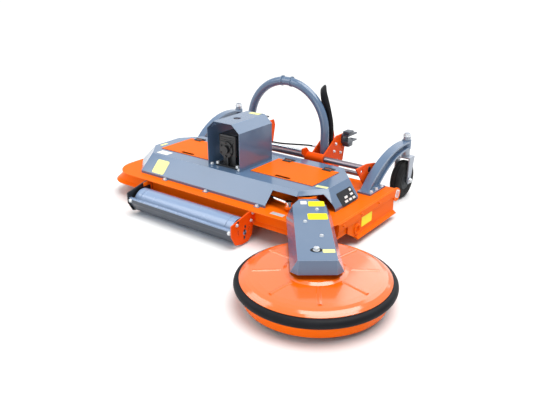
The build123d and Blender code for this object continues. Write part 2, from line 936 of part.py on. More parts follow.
# Headstock: two pairs of plates on sleeves that slide on the bars
def hitch_profile():
    Polygon(
        hitch_rear,
        *hitch_head,
        (cross_y + saddle_ahead, cross_z - cross_r - saddle_wall),
        (cross_y - saddle_behind, cross_z - cross_r - saddle_wall),
        *hitch_keel,
        align=None,
    )


sleeve_past = 22.0
seat_y = 512.0
seat_long = 176.0
seat_thick = 12.0
with BuildPart() as headstock:
    for pair in (-1, 1):
        for offset_x in (pair_inner, pair_outer):
            with BuildSketch(sideways(shift_x + pair * offset_x - hitch_plate / 2)):
                hitch_profile()
            extrude(amount=hitch_plate)
        inner = pair_inner - hitch_plate / 2 - sleeve_past
        outer = pair_outer + hitch_plate / 2 + sleeve_past
        start = shift_x + min(pair * inner, pair * outer)
        with BuildSketch(sideways(start)):
            with Locations((bar_y, bar_z)):
                Circle(bar_r + sleeve_wall)
            with Locations((lower_bar_y, lower_bar_z)):
                Circle(lower_bar_r + lower_sleeve_wall)
        extrude(amount=outer - inner)
        with BuildSketch(Plane.XY.offset(hoop_foot)):
            with Locations((shift_x + pair * (pair_inner + pair_outer) / 2, seat_y)):
                Rectangle(pair_outer - pair_inner, seat_long)
        extrude(amount=-seat_thick)
    with BuildSketch(sideways(shift_x - pair_outer)):
        with Locations((cross_y, cross_z)):
            Circle(cross_r)
    extrude(amount=2 * pair_outer)
    with BuildSketch(sideways(shift_x + pair_inner - hitch_plate / 2 - sleeve_past)):
        Polygon(
            (cylinder_y - 18, cylinder_z - 18),
            (cylinder_y - 18, cylinder_z + 20),
            (cylinder_y + 30, cylinder_z + 20),
            (bar_y + 20, bar_z + 24),
            (bar_y, bar_z),
            (bar_y - 30, bar_z),
            align=None,
        )
    extrude(amount=14)
    with BuildSketch(sideways(shift_x - pair_outer - hitch_plate - sleeve_past)):
        with Locations((bar_y, bar_z)):
            Circle(bar_r + running_gap)
        with Locations((lower_bar_y, lower_bar_z)):
            Circle(lower_bar_r + running_gap)
    extrude(amount=2 * (pair_outer + hitch_plate + sleeve_past), mode=Mode.SUBTRACT)
keep(headstock.part, "headstock")

# Hoop of the hitch with its two top link lugs
hoop_spring = hoop_top - hoop_bend
hoop_left = shift_x - hoop_bend
hoop_right = shift_x + hoop_bend
lug_half_gap = 34.0
lug_plate = 9.0
lug_ahead = 56.0
lug_below = 14.0
lug_eye = (hoop_y + lug_ahead, hoop_top - lug_below)
lug_eye_r = 9.6
with BuildPart() as hitch_hoop:
    with BuildLine() as hoop_line:
        left_leg = Line((hoop_left, hoop_y, hoop_foot), (hoop_left, hoop_y, hoop_spring))
        crown = ThreePointArc(
            left_leg @ 1,
            (shift_x, hoop_y, hoop_top),
            (hoop_right, hoop_y, hoop_spring),
        )
        Line(crown @ 1, (hoop_right, hoop_y, hoop_foot))
    with BuildSketch(Plane.XY.offset(hoop_foot)):
        with Locations((hoop_left, hoop_y)):
            Circle(hoop_r)
    sweep(path=hoop_line.line)
    for offset_x in (-lug_half_gap - lug_plate, lug_half_gap):
        with BuildSketch(sideways(shift_x + offset_x)):
            with Locations((hoop_y, hoop_top)):
                Circle(hoop_r + 6)
            with Locations(lug_eye):
                Circle(2 * lug_eye_r)
            Polygon(
                (hoop_y, hoop_top + hoop_r + 5),
                (lug_eye[0] + 4, lug_eye[1] + 2 * lug_eye_r - 1),
                (lug_eye[0], lug_eye[1] - 2 * lug_eye_r + 1),
                (hoop_y, hoop_top - hoop_r - 5),
                align=None,
            )
            with Locations(lug_eye):
                Circle(lug_eye_r, mode=Mode.SUBTRACT)
        extrude(amount=lug_plate)
keep(hitch_hoop.part, "hitch_hoop")

# Lower link blocks: a fork on each side, its pin taken out
fork_out = 56.0
fork_gap_high = 38.0
fork_ear = 10.0
fork_root = 14.0
fork_past = 60.0
fork_eye_in = 22.0
for side, name in ((-1, "left"), (1, "right")):
    face = shift_x + side * (pair_outer + hitch_plate / 2)
    with BuildPart() as link_block:
        with BuildSketch(sideways(min(face, face + side * fork_root))):
            with Locations((link_y + 6, link_z)):
                RectangleRounded(76, fork_gap_high + 2 * fork_ear + 12, 12)
        extrude(amount=fork_root)
        with BuildSketch(sideways(min(face, face + side * fork_out))):
            for level in (-1, 1):
                ear_z = link_z + level * (fork_gap_high + fork_ear) / 2
                with Locations(((link_y + link_eye_y) / 2, ear_z)):
                    Rectangle(link_eye_y - link_y + fork_past, fork_ear)
        extrude(amount=fork_out)
        with BuildSketch(Plane.XY.offset(link_z + fork_gap_high / 2 + fork_ear)):
            with Locations((face + side * (fork_out - fork_eye_in), link_eye_y)):
                Circle(link_eye_r)
        extrude(amount=-fork_gap_high - 2 * fork_ear, mode=Mode.SUBTRACT)
    keep(link_block.part, f"link_block_{name}")

# Side shift cylinder
with BuildPart() as shift_barrel:
    with BuildSketch(sideways(shift_barrel_left)):
        with Locations((cylinder_y, cylinder_z)):
            Circle(cylinder_r)
    extrude(amount=shift_barrel_right - shift_barrel_left)
    with BuildSketch(sideways(shift_barrel_left - 20)):
        with Locations((cylinder_y, cylinder_z)):
            Circle(cylinder_bore)
    extrude(amount=shift_barrel_right - shift_barrel_left + 6)
    with BuildSketch(sideways(shift_barrel_left + 14)):
        with Locations((cylinder_y, cylinder_z)):
            Circle(cylinder_bore)
    extrude(amount=shift_barrel_right - shift_barrel_left - 44, mode=Mode.SUBTRACT)
    with BuildSketch(sideways(shift_barrel_right)):
        with Locations((cylinder_y, cylinder_z)):
            Circle(rod_r + running_gap)
    extrude(amount=-60, mode=Mode.SUBTRACT)
    with BuildSketch(sideways(bracket_left_x + bracket_thick / 2)):
        with Locations((cylinder_y, cylinder_z)):
            RectangleRounded(34, 34, 8)
    extrude(amount=shift_barrel_left + 6 - bracket_left_x - bracket_thick / 2)
keep(shift_barrel.part, "shift_barrel")

rod_end = shift_x + pair_inner - hitch_plate / 2 - sleeve_past
rod_inside = -350.0
with BuildPart() as shift_rod:
    with BuildSketch(sideways(rod_inside)):
        with Locations((cylinder_y, cylinder_z)):
            Circle(rod_r)
    extrude(amount=rod_end - rod_inside)
    with BuildSketch(sideways(rod_inside)):
        with Locations((cylinder_y, cylinder_z)):
            Circle(cylinder_bore - seat_gap)
    extrude(amount=20)
keep(shift_rod.part, "shift_rod")


# Swing arm: post on the deck, arm, cover, cylinder and feeler disc
def arm_plane(z):
    return Plane(
        origin=(pivot_x, pivot_y, z),
        x_dir=(math.cos(math.radians(arm_angle)), math.sin(math.radians(arm_angle)), 0),
        z_dir=(0, 0, 1),
    )


with BuildPart() as pivot_post:
    with BuildSketch(Plane.XY.offset(deck_top)):
        with Locations((pivot_x, pivot_y)):
            Circle(pivot_r + 38)
    extrude(amount=10)
    with BuildSketch(Plane.XY.offset(deck_top)):
        with Locations((pivot_x, pivot_y)):
            Circle(pivot_r)
    extrude(amount=hub_top - deck_top)
keep(pivot_post.part, "pivot_post")

lever_low = arm_low - 4
lever_top = swing_z - 17
spindle_foot = 134.0
spindle_collar = 148.0
with BuildPart() as swing_arm:
    with BuildSketch(arm_plane(arm_low)):
        with Locations((arm_reach / 2, 0)):
            Rectangle(arm_reach, arm_width)
        with Locations((arm_reach, 0)):
            Circle(arm_width / 2)
    extrude(amount=arm_high - arm_low)
    with BuildSketch(arm_plane(deck_top + 10 + seat_gap)):
        Circle(hub_r)
    extrude(amount=hub_top - deck_top - 10 - seat_gap)
    with BuildSketch(Plane.XY.offset(lever_low)):
        with Locations((pivot_x + eye_x, pivot_y + eye_y)):
            Circle(24)
        Polygon(
            (pivot_x + eye_x - 20, pivot_y + eye_y + 14),
            (pivot_x + eye_x + 18, pivot_y + eye_y - 16),
            (pivot_x + 30, pivot_y - 45),
            (pivot_x - 50, pivot_y + 10),
            align=None,
        )
    extrude(amount=lever_top - lever_low)
    with BuildSketch(Plane.XY.offset(spindle_foot)):
        with Locations((disc_x, disc_y)):
            Circle(disc_spindle_r)
    extrude(amount=arm_low - spindle_foot)
    with BuildSketch(Plane.XY.offset(spindle_foot)):
        with Locations((disc_x, disc_y)):
            Circle(disc_spindle_r + 14)
    extrude(amount=spindle_collar - spindle_foot)
    with BuildSketch(Plane.XY.offset(pan_top + 4)):
        with Locations((disc_x, disc_y)):
            Circle(disc_spindle_r + 30)
    extrude(amount=arm_low - pan_top - 4)
    for s in (150, arm_reach - 80):
        with BuildSketch(arm_plane(arm_high)):
            with Locations((s, 0)):
                Rectangle(40, 120)
        extrude(amount=cover_top - hood_sheet - arm_high)
    with BuildSketch(arm_plane(deck_top)):
        Circle(pivot_r + running_gap)
    extrude(amount=hub_top - deck_top, mode=Mode.SUBTRACT)
    with BuildSketch(Plane.XY.offset(spindle_foot)):
        with Locations((disc_x, disc_y)):
            Circle(disc_shaft_r + running_gap)
    extrude(amount=cover_top - spindle_foot, mode=Mode.SUBTRACT)
keep(swing_arm.part, "swing_arm")


def cover_outline(half, end, corner, inset):
    half = half - inset
    end = end - inset
    Polygon(
        (cover_start, -half + cover_mouth_in),
        (cover_start + cover_mouth_long, -half),
        (end - corner, -half),
        (end, -half + corner),
        (end, half - corner),
        (end - corner, half),
        (cover_start + cover_mouth_long, half),
        (cover_start, half - cover_mouth_in),
        align=None,
    )


cover_end = arm_reach + cover_past_disc
with BuildPart() as arm_cover:
    for inset, mode in ((0.0, Mode.ADD), (hood_sheet, Mode.SUBTRACT)):
        with BuildSketch(arm_plane(cover_low)):
            cover_outline(cover_low_half, cover_end, cover_corner, inset)
        with BuildSketch(arm_plane(cover_top - inset)):
            cover_outline(cover_top_half, cover_end - 8, 5, inset)
        loft(ruled=True, mode=mode)
keep(arm_cover.part, "arm_cover")

# Feeler disc: a spun pan that turns on the spindle, its rim a channel for the rubber ring
ring_seat = ring_major - ring_r - seat_gap
lip_up = ring_z + ring_r + seat_gap
lip_down = ring_z - ring_r - seat_gap
hub_wall = 16.0
dome_inner = (300.0, 175.0)
dome_middle = (332.0, 171.0)
dome_shoulder = ((352.0, 165.0), (366.0, 156.0))
rib_count = 8
rib_turn = 36.7
rib_start = 172.0
rib_start_z = 180.0
rib_long = 142.0
rib_fall = 0.038
rib_r = 15.0
rib_high = 5.0
with BuildPart() as feeler_disc:
    with BuildSketch(Plane(origin=(disc_x, disc_y, 0), x_dir=(1, 0, 0), z_dir=(0, -1, 0))):
        Polygon(
            (disc_spindle_r + running_gap, pan_top + 4 - seat_gap),
            (disc_spindle_r + hub_wall, pan_top + 4 - seat_gap),
            (disc_spindle_r + hub_wall + 10, pan_top),
            (boss_r - 8, pan_top),
            (boss_r + 10, pan_top - 9),
            dome_inner,
            dome_middle,
            *dome_shoulder,
            (ring_major - 3, lip_up + 3),
            (ring_major - 3, lip_up),
            (ring_seat, lip_up),
            (ring_seat, lip_down),
            (ring_major + 5, lip_down),
            (ring_major + 5, lip_down - 5),
            (pan_low_r, pan_low),
            (pan_low_r - pan_sheet, pan_low),
            (ring_major, lip_down - 6),
            (ring_major - 2, lip_down - pan_sheet),
            (ring_seat - pan_sheet, lip_down - pan_sheet),
            (ring_seat - pan_sheet, lip_up + 2),
            (dome_middle[0] - 1, dome_middle[1] - pan_sheet),
            (dome_inner[0] - 1, dome_inner[1] - pan_sheet),
            (boss_r + 8, pan_top - 9 - pan_sheet),
            (boss_r - 10, pan_top - pan_sheet),
            (disc_spindle_r + hub_wall, pan_top - pan_sheet),
            (disc_spindle_r + hub_wall, spindle_collar + seat_gap),
            (disc_spindle_r + running_gap, spindle_collar + seat_gap),
            align=None,
        )
    revolve(axis=Axis((disc_x, disc_y, 0), (0, 0, 1)))
    for number in range(rib_count):
        turn = math.radians(rib_turn + number * 360 / rib_count)
        out = (math.cos(turn), math.sin(turn))
        rib_plane = Plane(
            origin=(disc_x + rib_start * out[0], disc_y + rib_start * out[1], rib_start_z),
            x_dir=(-out[1], out[0], 0),
            z_dir=(out[0], out[1], -rib_fall),
        )
        with BuildSketch(rib_plane):
            with Locations((0, -rib_r + rib_high)):
                Circle(rib_r)
            with Locations((0, rib_r - 2)):
                Rectangle(3 * rib_r, 2 * rib_r, mode=Mode.INTERSECT)
        extrude(amount=rib_long)
keep(feeler_disc.part, "feeler_disc")

with BuildPart() as bumper_ring:
    with BuildSketch(Plane(origin=(disc_x, disc_y, 0), x_dir=(1, 0, 0), z_dir=(0, -1, 0))):
        with Locations((ring_major, ring_z)):
            Circle(ring_r)
    revolve(axis=Axis((disc_x, disc_y, 0), (0, 0, 1)))
keep(bumper_ring.part, "bumper_ring")

disc_blade_z = 58.0
with BuildPart() as disc_rotor:
    with BuildSketch(Plane.XY.offset(disc_blade_z)):
        with Locations((disc_x, disc_y)):
            Circle(disc_shaft_r)
    extrude(amount=arm_high + 16 - disc_blade_z)
    with BuildSketch(Plane.XY.offset(disc_blade_z)):
        with Locations((disc_x, disc_y)):
            Circle(190)
            with PolarLocations(150, 4):
                Rectangle(2 * (disc_rotor_reach - 150), 50)
    extrude(amount=8)
    with BuildSketch(Plane.XY.offset(disc_blade_z + 8)):
        with Locations((disc_x, disc_y)):
            Circle(disc_shaft_r + 22)
    extrude(amount=spindle_foot - seat_gap - disc_blade_z - 8)
    with BuildSketch(Plane.XY.offset(arm_high + seat_gap)):
        with Locations((disc_x, disc_y)):
            RegularPolygon(26, 6)
    extrude(amount=14)
keep(disc_rotor.part, "disc_rotor")

# Swing cylinder from the deck to the arm's lever
eye_at = (pivot_x + eye_x, pivot_y + eye_y)
swing_length = math.hypot(eye_at[0] - barrel_x, eye_at[1] - barrel_y)
swing_angle = math.atan2(eye_at[1] - barrel_y, eye_at[0] - barrel_x)
swing_dir = (math.cos(swing_angle), math.sin(swing_angle), 0)
barrel_r = 19.0
barrel_bore = 14.0
swing_rod_r = 10.0
barrel_start = 30.0
barrel_long = 190.0
rod_start = 115.0


def across_swing(distance):
    """Plane across the swing cylinder's axis, at a distance from its rear pin."""
    return Plane(
        origin=(
            barrel_x + distance * swing_dir[0],
            barrel_y + distance * swing_dir[1],
            swing_z,
        ),
        x_dir=(-swing_dir[1], swing_dir[0], 0),
        z_dir=swing_dir,
    )


pin_r = 10.0
with BuildPart() as cylinder_post:
    with BuildSketch(Plane.XY.offset(deck_top)):
        with Locations((barrel_x, barrel_y)):
            Circle(24)
    extrude(amount=swing_z - 14 - seat_gap - deck_top)
    with BuildSketch(Plane.XY.offset(deck_top)):
        with Locations((barrel_x, barrel_y)):
            Circle(pin_r)
    extrude(amount=swing_z + 16 - deck_top)
keep(cylinder_post.part, "cylinder_post")

with BuildPart() as swing_barrel:
    with BuildSketch(across_swing(barrel_start)):
        Circle(barrel_r)
    extrude(amount=barrel_long)
    with BuildSketch(Plane.XY.offset(swing_z - 14)):
        with Locations((barrel_x, barrel_y)):
            Circle(24)
    extrude(amount=28)
    with BuildSketch(across_swing(8)):
        Rectangle(26, 28)
    extrude(amount=barrel_start + 6)
    with BuildSketch(across_swing(barrel_start + 12)):
        Circle(barrel_bore)
    extrude(amount=barrel_long - 34, mode=Mode.SUBTRACT)
    with BuildSketch(across_swing(barrel_start + barrel_long - 30)):
        Circle(swing_rod_r + running_gap)
    extrude(amount=40, mode=Mode.SUBTRACT)
    with BuildSketch(Plane.XY.offset(swing_z - 14)):
        with Locations((barrel_x, barrel_y)):
            Circle(pin_r + running_gap)
    extrude(amount=28, mode=Mode.SUBTRACT)
keep(swing_barrel.part, "swing_barrel")

with BuildPart() as swing_rod:
    with BuildSketch(across_swing(rod_start)):
        Circle(swing_rod_r)
    extrude(amount=swing_length - rod_start)
    with BuildSketch(across_swing(rod_start)):
        Circle(barrel_bore - seat_gap)
    extrude(amount=18)
    with BuildSketch(Plane.XY.offset(lever_top + seat_gap)):
        with Locations(eye_at):
            Circle(20)
    extrude(amount=30)
keep(swing_rod.part, "swing_rod")


# Hoses: straight runs joined by arcs as large as the runs allow
def corner_radii(points):
    """Arc for each corner: 0.45 of its shorter run over the tangent of half its turn."""
    radii = []
    for before, here, after in zip(points, points[1:], points[2:]):
        run_in = Vector(*here) - Vector(*before)
        run_out = Vector(*after) - Vector(*here)
        half_turn = math.radians(run_in.get_angle(run_out)) / 2
        radii.append(0.45 * min(run_in.length, run_out.length) / math.tan(half_turn))
    return radii


def build_hose(points, radius):
    radii = corner_radii(points)
    print("hose radii", [round(r) for r in radii])
    start = Vector(*points[0])
    with BuildPart() as hose:
        with BuildLine() as route:
            FilletPolyline(*points, radius=radii)
        with BuildSketch(Plane(origin=start, z_dir=Vector(*points[1]) - start)):
            Circle(radius)
        sweep(path=route.line)
    length = sum(edge.length for edge in route.edges())
    share = hose.part.volume / (math.pi * radius**2 * length)
    print("hose length", round(length), "volume over section times length", round(share, 4))
    return hose


hose_r = 7.0
cross_hose_r = 6.0
outer_points = (
    (352, 520, 264),
    (352, 520, 340),
    (371, 505, 443),
    (384, 500, 516),
    (360, 500, 611),
    (336, 500, 690),
    (318, 500, 740),
    (300, 524, 770),
    (275, 558, 770),
    (257, 582, 740),
    (262, 588, 680),
    (290, 588, 611),
    (326, 586, 516),
    (334, 584, 443),
    (336, 575, 340),
    (336, 575, 264),
)
keep(build_hose(outer_points, hose_r).part, "hose_loop_outer")
inner_points = (
    (324, 520, 264),
    (324, 520, 336),
    (343, 505, 440),
    (356, 500, 512),
    (333, 500, 600),
    (309, 500, 668),
    (291, 500, 712),
    (273, 524, 742),
    (248, 558, 742),
    (230, 582, 712),
    (235, 588, 655),
    (264, 587, 590),
    (298, 586, 515),
    (309, 584, 448),
    (310, 576, 340),
    (310, 576, 264),
)
keep(build_hose(inner_points, hose_r).part, "hose_loop_inner")

cross_points = (
    (-238, 468, 322),
    (-180, 468, 322),
    (-108, 470, 317),
    (-20, 474, 320),
    (70, 475, 331),
    (160, 474, 343),
    (230, 468, 352),
    (288, 468, 352),
)
keep(build_hose(cross_points, cross_hose_r).part, "cross_hose")
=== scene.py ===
import json
import math

import bmesh
import bpy
from mathutils import Matrix, Vector


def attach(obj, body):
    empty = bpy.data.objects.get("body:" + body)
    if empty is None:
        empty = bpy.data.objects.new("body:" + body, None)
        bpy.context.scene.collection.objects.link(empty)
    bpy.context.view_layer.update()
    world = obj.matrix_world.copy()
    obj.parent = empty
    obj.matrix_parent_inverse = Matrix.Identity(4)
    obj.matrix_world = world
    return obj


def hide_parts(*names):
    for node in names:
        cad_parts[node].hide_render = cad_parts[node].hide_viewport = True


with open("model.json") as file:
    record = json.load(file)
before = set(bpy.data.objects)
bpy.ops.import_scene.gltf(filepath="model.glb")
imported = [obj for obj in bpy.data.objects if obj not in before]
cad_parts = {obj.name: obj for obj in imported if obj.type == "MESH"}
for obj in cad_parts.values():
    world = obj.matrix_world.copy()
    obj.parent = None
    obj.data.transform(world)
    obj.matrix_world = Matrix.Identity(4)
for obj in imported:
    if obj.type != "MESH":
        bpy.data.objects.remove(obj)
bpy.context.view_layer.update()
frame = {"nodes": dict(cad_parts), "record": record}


# The machine is laid out in millimetres from the middle of its deck, and the frame's origin is
# elsewhere
SHIFT_X = 265.0
SHIFT_Y = -134.5


def at(x, y, z):
    """A point of the machine, given in millimetres from the deck's middle, in the frame's metres."""
    return Vector(((x - SHIFT_X) / 1000, (y - SHIFT_Y) / 1000, z / 1000))


# Colours and nodes
def srgb(code):
    """An sRGB hex value as the linear colour that a shader takes."""
    parts = [int(code[i : i + 2], 16) / 255 for i in (1, 3, 5)]
    linear = [p / 12.92 if p <= 0.04045 else ((p + 0.055) / 1.055) ** 2.4 for p in parts]
    return (*linear, 1.0)


def scale_of(size_mm):
    """The scale of a noise whose grains are about as large as the given real size."""
    return 1000.0 / size_mm


def add(tree, kind, settings=None, inputs=None):
    """Adds one node; a value in inputs is either a socket to link from or a number to set."""
    node = tree.nodes.new(kind)
    for key, value in (settings or {}).items():
        setattr(node, key, value)
    for key, value in (inputs or {}).items():
        if isinstance(value, bpy.types.NodeSocket):
            tree.links.new(value, node.inputs[key])
        else:
            node.inputs[key].default_value = value
    return node


def new_material(name):
    material = bpy.data.materials.new(name)
    material.use_nodes = True
    tree = material.node_tree
    tree.nodes.clear()
    place = add(tree, "ShaderNodeTexCoord").outputs["Object"]
    return material, tree, place


def close_material(tree, shader):
    add(tree, "ShaderNodeOutputMaterial", inputs={"Surface": shader.outputs["BSDF"]})


# Powder coat on sheet steel: an even gloss with a fine orange peel, a little dust that lies on
# faces looking up, and a painted highlight that makes the rounded edges paler
CLOUD_MM = 250.0
PATCH_MM = 62.5
PEEL_MM = 3.03  # three times the real peel, so that it shows
EDGE_R = 0.003
PAINT_IOR = 1.5
# above a real lacquer's, so that the pale sky shows on the disc as it does in the photograph
LACQUER_IOR = 1.85


def powder_coat(name, colour, pale, dust, roughness, coat, mirror=0.5, top_only=False):
    material, tree, place = new_material(name)
    # cloudy change of tone, as a sprayed film has
    cloud = add(
        tree,
        "ShaderNodeTexNoise",
        inputs={"Vector": place, "Scale": scale_of(CLOUD_MM), "Detail": 3.0},
    )
    tone = add(
        tree,
        "ShaderNodeMix",
        {"data_type": "RGBA", "blend_type": "MULTIPLY"},
        {"Factor": 0.35, "A": srgb(colour), "B": cloud.outputs["Fac"]},
    )
    even = add(
        tree,
        "ShaderNodeMix",
        {"data_type": "RGBA"},
        {"Factor": 0.07, "A": srgb(colour), "B": tone.outputs["Result"]},
    )
    # dust lies in patches where the face looks up
    facing = add(tree, "ShaderNodeNewGeometry")
    upward = add(tree, "ShaderNodeSeparateXYZ", inputs={"Vector": facing.outputs["Normal"]})
    patches = add(
        tree,
        "ShaderNodeTexNoise",
        inputs={"Vector": place, "Scale": scale_of(PATCH_MM), "Detail": 1.0},
    )
    lying = add(
        tree,
        "ShaderNodeMath",
        {"operation": "MULTIPLY"},
        {0: upward.outputs["Z"], 1: patches.outputs["Fac"]},
    )
    amount = add(
        tree,
        "ShaderNodeMapRange",
        {"clamp": True},
        {
            "Value": lying.outputs["Value"],
            "From Min": 0.42,
            "From Max": 0.85,
            "To Min": 0.0,
            "To Max": 0.02,
        },
    )
    dusty = add(
        tree,
        "ShaderNodeMix",
        {"data_type": "RGBA"},
        {"Factor": amount.outputs["Result"], "A": even.outputs["Result"], "B": srgb(dust)},
    )
    # painted highlight along edges: there the rounded corner's normal differs from the face's own, and
    # the pale colour is mixed in
    rounded = add(tree, "ShaderNodeBevel", {"samples": 6}, {"Radius": EDGE_R})
    turn = add(
        tree,
        "ShaderNodeVectorMath",
        {"operation": "DOT_PRODUCT"},
        {0: rounded.outputs["Normal"], 1: facing.outputs["True Normal"]},
    )
    edge = add(
        tree,
        "ShaderNodeMapRange",
        {"clamp": True},
        {
            "Value": turn.outputs["Value"],
            "From Min": 0.99,
            "From Max": 0.90,
            "To Min": 0.0,
            "To Max": 0.55,
        },
    )
    edge_highlight = add(
        tree,
        "ShaderNodeMix",
        {"data_type": "RGBA"},
        {"Factor": edge.outputs["Result"], "A": dusty.outputs["Result"], "B": srgb(pale)},
    )
    gloss = add(
        tree,
        "ShaderNodeMapRange",
        {"clamp": True},
        {
            "Value": patches.outputs["Fac"],
            "From Min": 0.3,
            "From Max": 0.8,
            "To Min": roughness,
            "To Max": roughness + 0.02,
        },
    )
    peel = add(
        tree,
        "ShaderNodeTexNoise",
        inputs={"Vector": place, "Scale": scale_of(PEEL_MM), "Detail": 1.0},
    )
    relief = add(
        tree,
        "ShaderNodeBump",
        inputs={
            "Strength": 0.02,
            "Distance": 0.0006,
            "Height": peel.outputs["Fac"],
            "Normal": rounded.outputs["Normal"],
        },
    )
    coat_ior = PAINT_IOR
    if top_only:
        coat_ior = LACQUER_IOR
        # the polished lacquer is only on what looks up; a skirt stays as it was sprayed
        lacquer = add(
            tree,
            "ShaderNodeMapRange",
            {"clamp": True},
            {
                "Value": upward.outputs["Z"],
                "From Min": 0.3,
                "From Max": 0.9,
                "To Min": 0.0,
                "To Max": coat,
            },
        )
        coat = lacquer.outputs["Result"]
    shader = add(
        tree,
        "ShaderNodeBsdfPrincipled",
        inputs={
            "Base Color": edge_highlight.outputs["Result"],
            "Roughness": gloss.outputs["Result"],
            "IOR": PAINT_IOR,
            "Specular IOR Level": mirror,
            "Coat Weight": coat,
            "Coat Roughness": 0.12,
            "Coat IOR": coat_ior,
            "Normal": relief.outputs["Normal"],
        },
    )
    close_material(tree, shader)
    return material


# Steel, turned, drawn or plated: fine lines from the tool or a mottled zinc grain
def bare_metal(name, colour, dark, roughness, grain_mm, relief_mm, metallic=1.0):
    material, tree, place = new_material(name)
    grain = add(
        tree,
        "ShaderNodeTexNoise",
        inputs={"Vector": place, "Scale": scale_of(grain_mm), "Detail": 5.0, "Roughness": 0.6},
    )
    tone = add(
        tree,
        "ShaderNodeMix",
        {"data_type": "RGBA"},
        {"Factor": grain.outputs["Fac"], "A": srgb(dark), "B": srgb(colour)},
    )
    gloss = add(
        tree,
        "ShaderNodeMapRange",
        inputs={
            "Value": grain.outputs["Fac"],
            "To Min": roughness - 0.07,
            "To Max": roughness + 0.12,
        },
    )
    rounded = add(tree, "ShaderNodeBevel", {"samples": 4}, {"Radius": 0.001})
    relief = add(
        tree,
        "ShaderNodeBump",
        inputs={
            "Strength": 0.2,
            "Distance": relief_mm / 1000,
            "Height": grain.outputs["Fac"],
            "Normal": rounded.outputs["Normal"],
        },
    )
    shader = add(
        tree,
        "ShaderNodeBsdfPrincipled",
        inputs={
            "Base Color": tone.outputs["Result"],
            "Metallic": metallic,
            "Roughness": gloss.outputs["Result"],
            "Normal": relief.outputs["Normal"],
        },
    )
    close_material(tree, shader)
    return material


# Rubber and moulded plastic: matt, with a bloom that is paler where the skin is open
BLOOM_MM = 71.4
RUBBER_IOR = 1.27


def moulded(name, colour, bloom, roughness, grain_mm, relief_mm):
    material, tree, place = new_material(name)
    grain = add(
        tree,
        "ShaderNodeTexNoise",
        inputs={"Vector": place, "Scale": scale_of(grain_mm), "Detail": 4.0},
    )
    cloud = add(
        tree,
        "ShaderNodeTexNoise",
        inputs={"Vector": place, "Scale": scale_of(BLOOM_MM), "Detail": 5.0},
    )
    share = add(
        tree,
        "ShaderNodeMapRange",
        {"clamp": True},
        {
            "Value": cloud.outputs["Fac"],
            "From Min": 0.4,
            "From Max": 0.75,
            "To Min": 0.0,
            "To Max": 0.55,
        },
    )
    tone = add(
        tree,
        "ShaderNodeMix",
        {"data_type": "RGBA"},
        {"Factor": share.outputs["Result"], "A": srgb(colour), "B": srgb(bloom)},
    )
    rounded = add(tree, "ShaderNodeBevel", {"samples": 4}, {"Radius": 0.0015})
    relief = add(
        tree,
        "ShaderNodeBump",
        inputs={
            "Strength": 0.25,
            "Distance": relief_mm / 1000,
            "Height": grain.outputs["Fac"],
            "Normal": rounded.outputs["Normal"],
        },
    )
    shader = add(
        tree,
        "ShaderNodeBsdfPrincipled",
        inputs={
            "Base Color": tone.outputs["Result"],
            "Roughness": roughness,
            "IOR": RUBBER_IOR,
            "Normal": relief.outputs["Normal"],
        },
    )
    close_material(tree, shader)
    return material


# Vinyl film on the paint: smooth, slightly glossy, with a faint ripple from the sheet below
RIPPLE_MM = 25.0
FILM_IOR = 1.3


def film(name, colour, dark):
    material, tree, place = new_material(name)
    cloud = add(
        tree,
        "ShaderNodeTexNoise",
        inputs={"Vector": place, "Scale": scale_of(RIPPLE_MM), "Detail": 3.0},
    )
    tone = add(
        tree,
        "ShaderNodeMix",
        {"data_type": "RGBA"},
        {"Factor": cloud.outputs["Fac"], "A": srgb(colour), "B": srgb(dark)},
    )
    relief = add(
        tree,
        "ShaderNodeBump",
        inputs={"Strength": 0.1, "Distance": 0.0005, "Height": cloud.outputs["Fac"]},
    )
    shader = add(
        tree,
        "ShaderNodeBsdfPrincipled",
        inputs={
            "Base Color": tone.outputs["Result"],
            "Roughness": 0.4,
            "IOR": FILM_IOR,
            "Normal": relief.outputs["Normal"],
        },
    )
    close_material(tree, shader)
    return material


# Deck and lids: sprayed powder on sheet steel, an even orange with hardly a reflection in it
orange_coat = powder_coat("gloss_orange_powder_coat", "#F86A0A", "#FFA05C", "#E09A62", 0.30, 0.0, 0.03)
# The pressed disc is lacquered and rubbed up: the same orange, with the sky's light lying on it
disc_coat = powder_coat("polished_orange_enamel", "#F86B0E", "#FFA05C", "#E8A878", 0.24, 1.0, 0.03, True)
# The hitch's plates and the right roller plate wear the same orange made deeper and redder, painted
# shade for their faces turned from the light
shaded_orange_coat = powder_coat("orange_coat_with_painted_shade", "#F4540C", "#FF9058", "#D88458", 0.30, 0.0, 0.05)
# Folded covers and tubes: a bluish grey under a clear coat that mirrors the sky on flat faces
grey_coat = powder_coat("slate_grey_powder_coat", "#55708F", "#A4B6CC", "#A0A8B2", 0.25, 0.7, 0.5)
# The roller's tube wears the same grey made paler, a painted reflection of the sky on it
sky_paled_grey_coat = powder_coat("grey_coat_paled_as_painted_reflection", "#8299BA", "#B4C4D8", "#A8AEB6", 0.26, 0.6, 0.5)
# Link blocks and the scraper: charcoal that stays dark from every side
shade_coat = powder_coat("charcoal_powder_coat", "#323A47", "#6B788A", "#6E6E6E", 0.30, 0.3)
# Small dark fittings: brushed-on enamel, black with a soft gloss
black_coat = powder_coat("black_enamel", "#17181A", "#3C3E41", "#5D5A55", 0.36, 0.15)
# The gearbox casting: painted iron, nearly matt
cast_coat = powder_coat("painted_iron_casting", "#2B2D30", "#56595C", "#6B665F", 0.5, 0.05)
# Turned pins and stubs: bright steel with fine tool lines
turned_steel = bare_metal("turned_steel", "#C7C9CB", "#9C9FA2", 0.30, 0.8, 0.05)
# Blades: hardened steel, dark and blotchy from the furnace
blade_steel = bare_metal("hardened_blade_steel", "#7C7E80", "#4F5153", 0.42, 3.0, 0.15)
# Bolts and nuts: bright zinc with a spangle of 12 mm, only half metallic, so that it stays pale
zinc_plate = bare_metal("galvanised_steel", "#E4E7EA", "#C6CBCF", 0.34, 12.0, 0.05, 0.55)
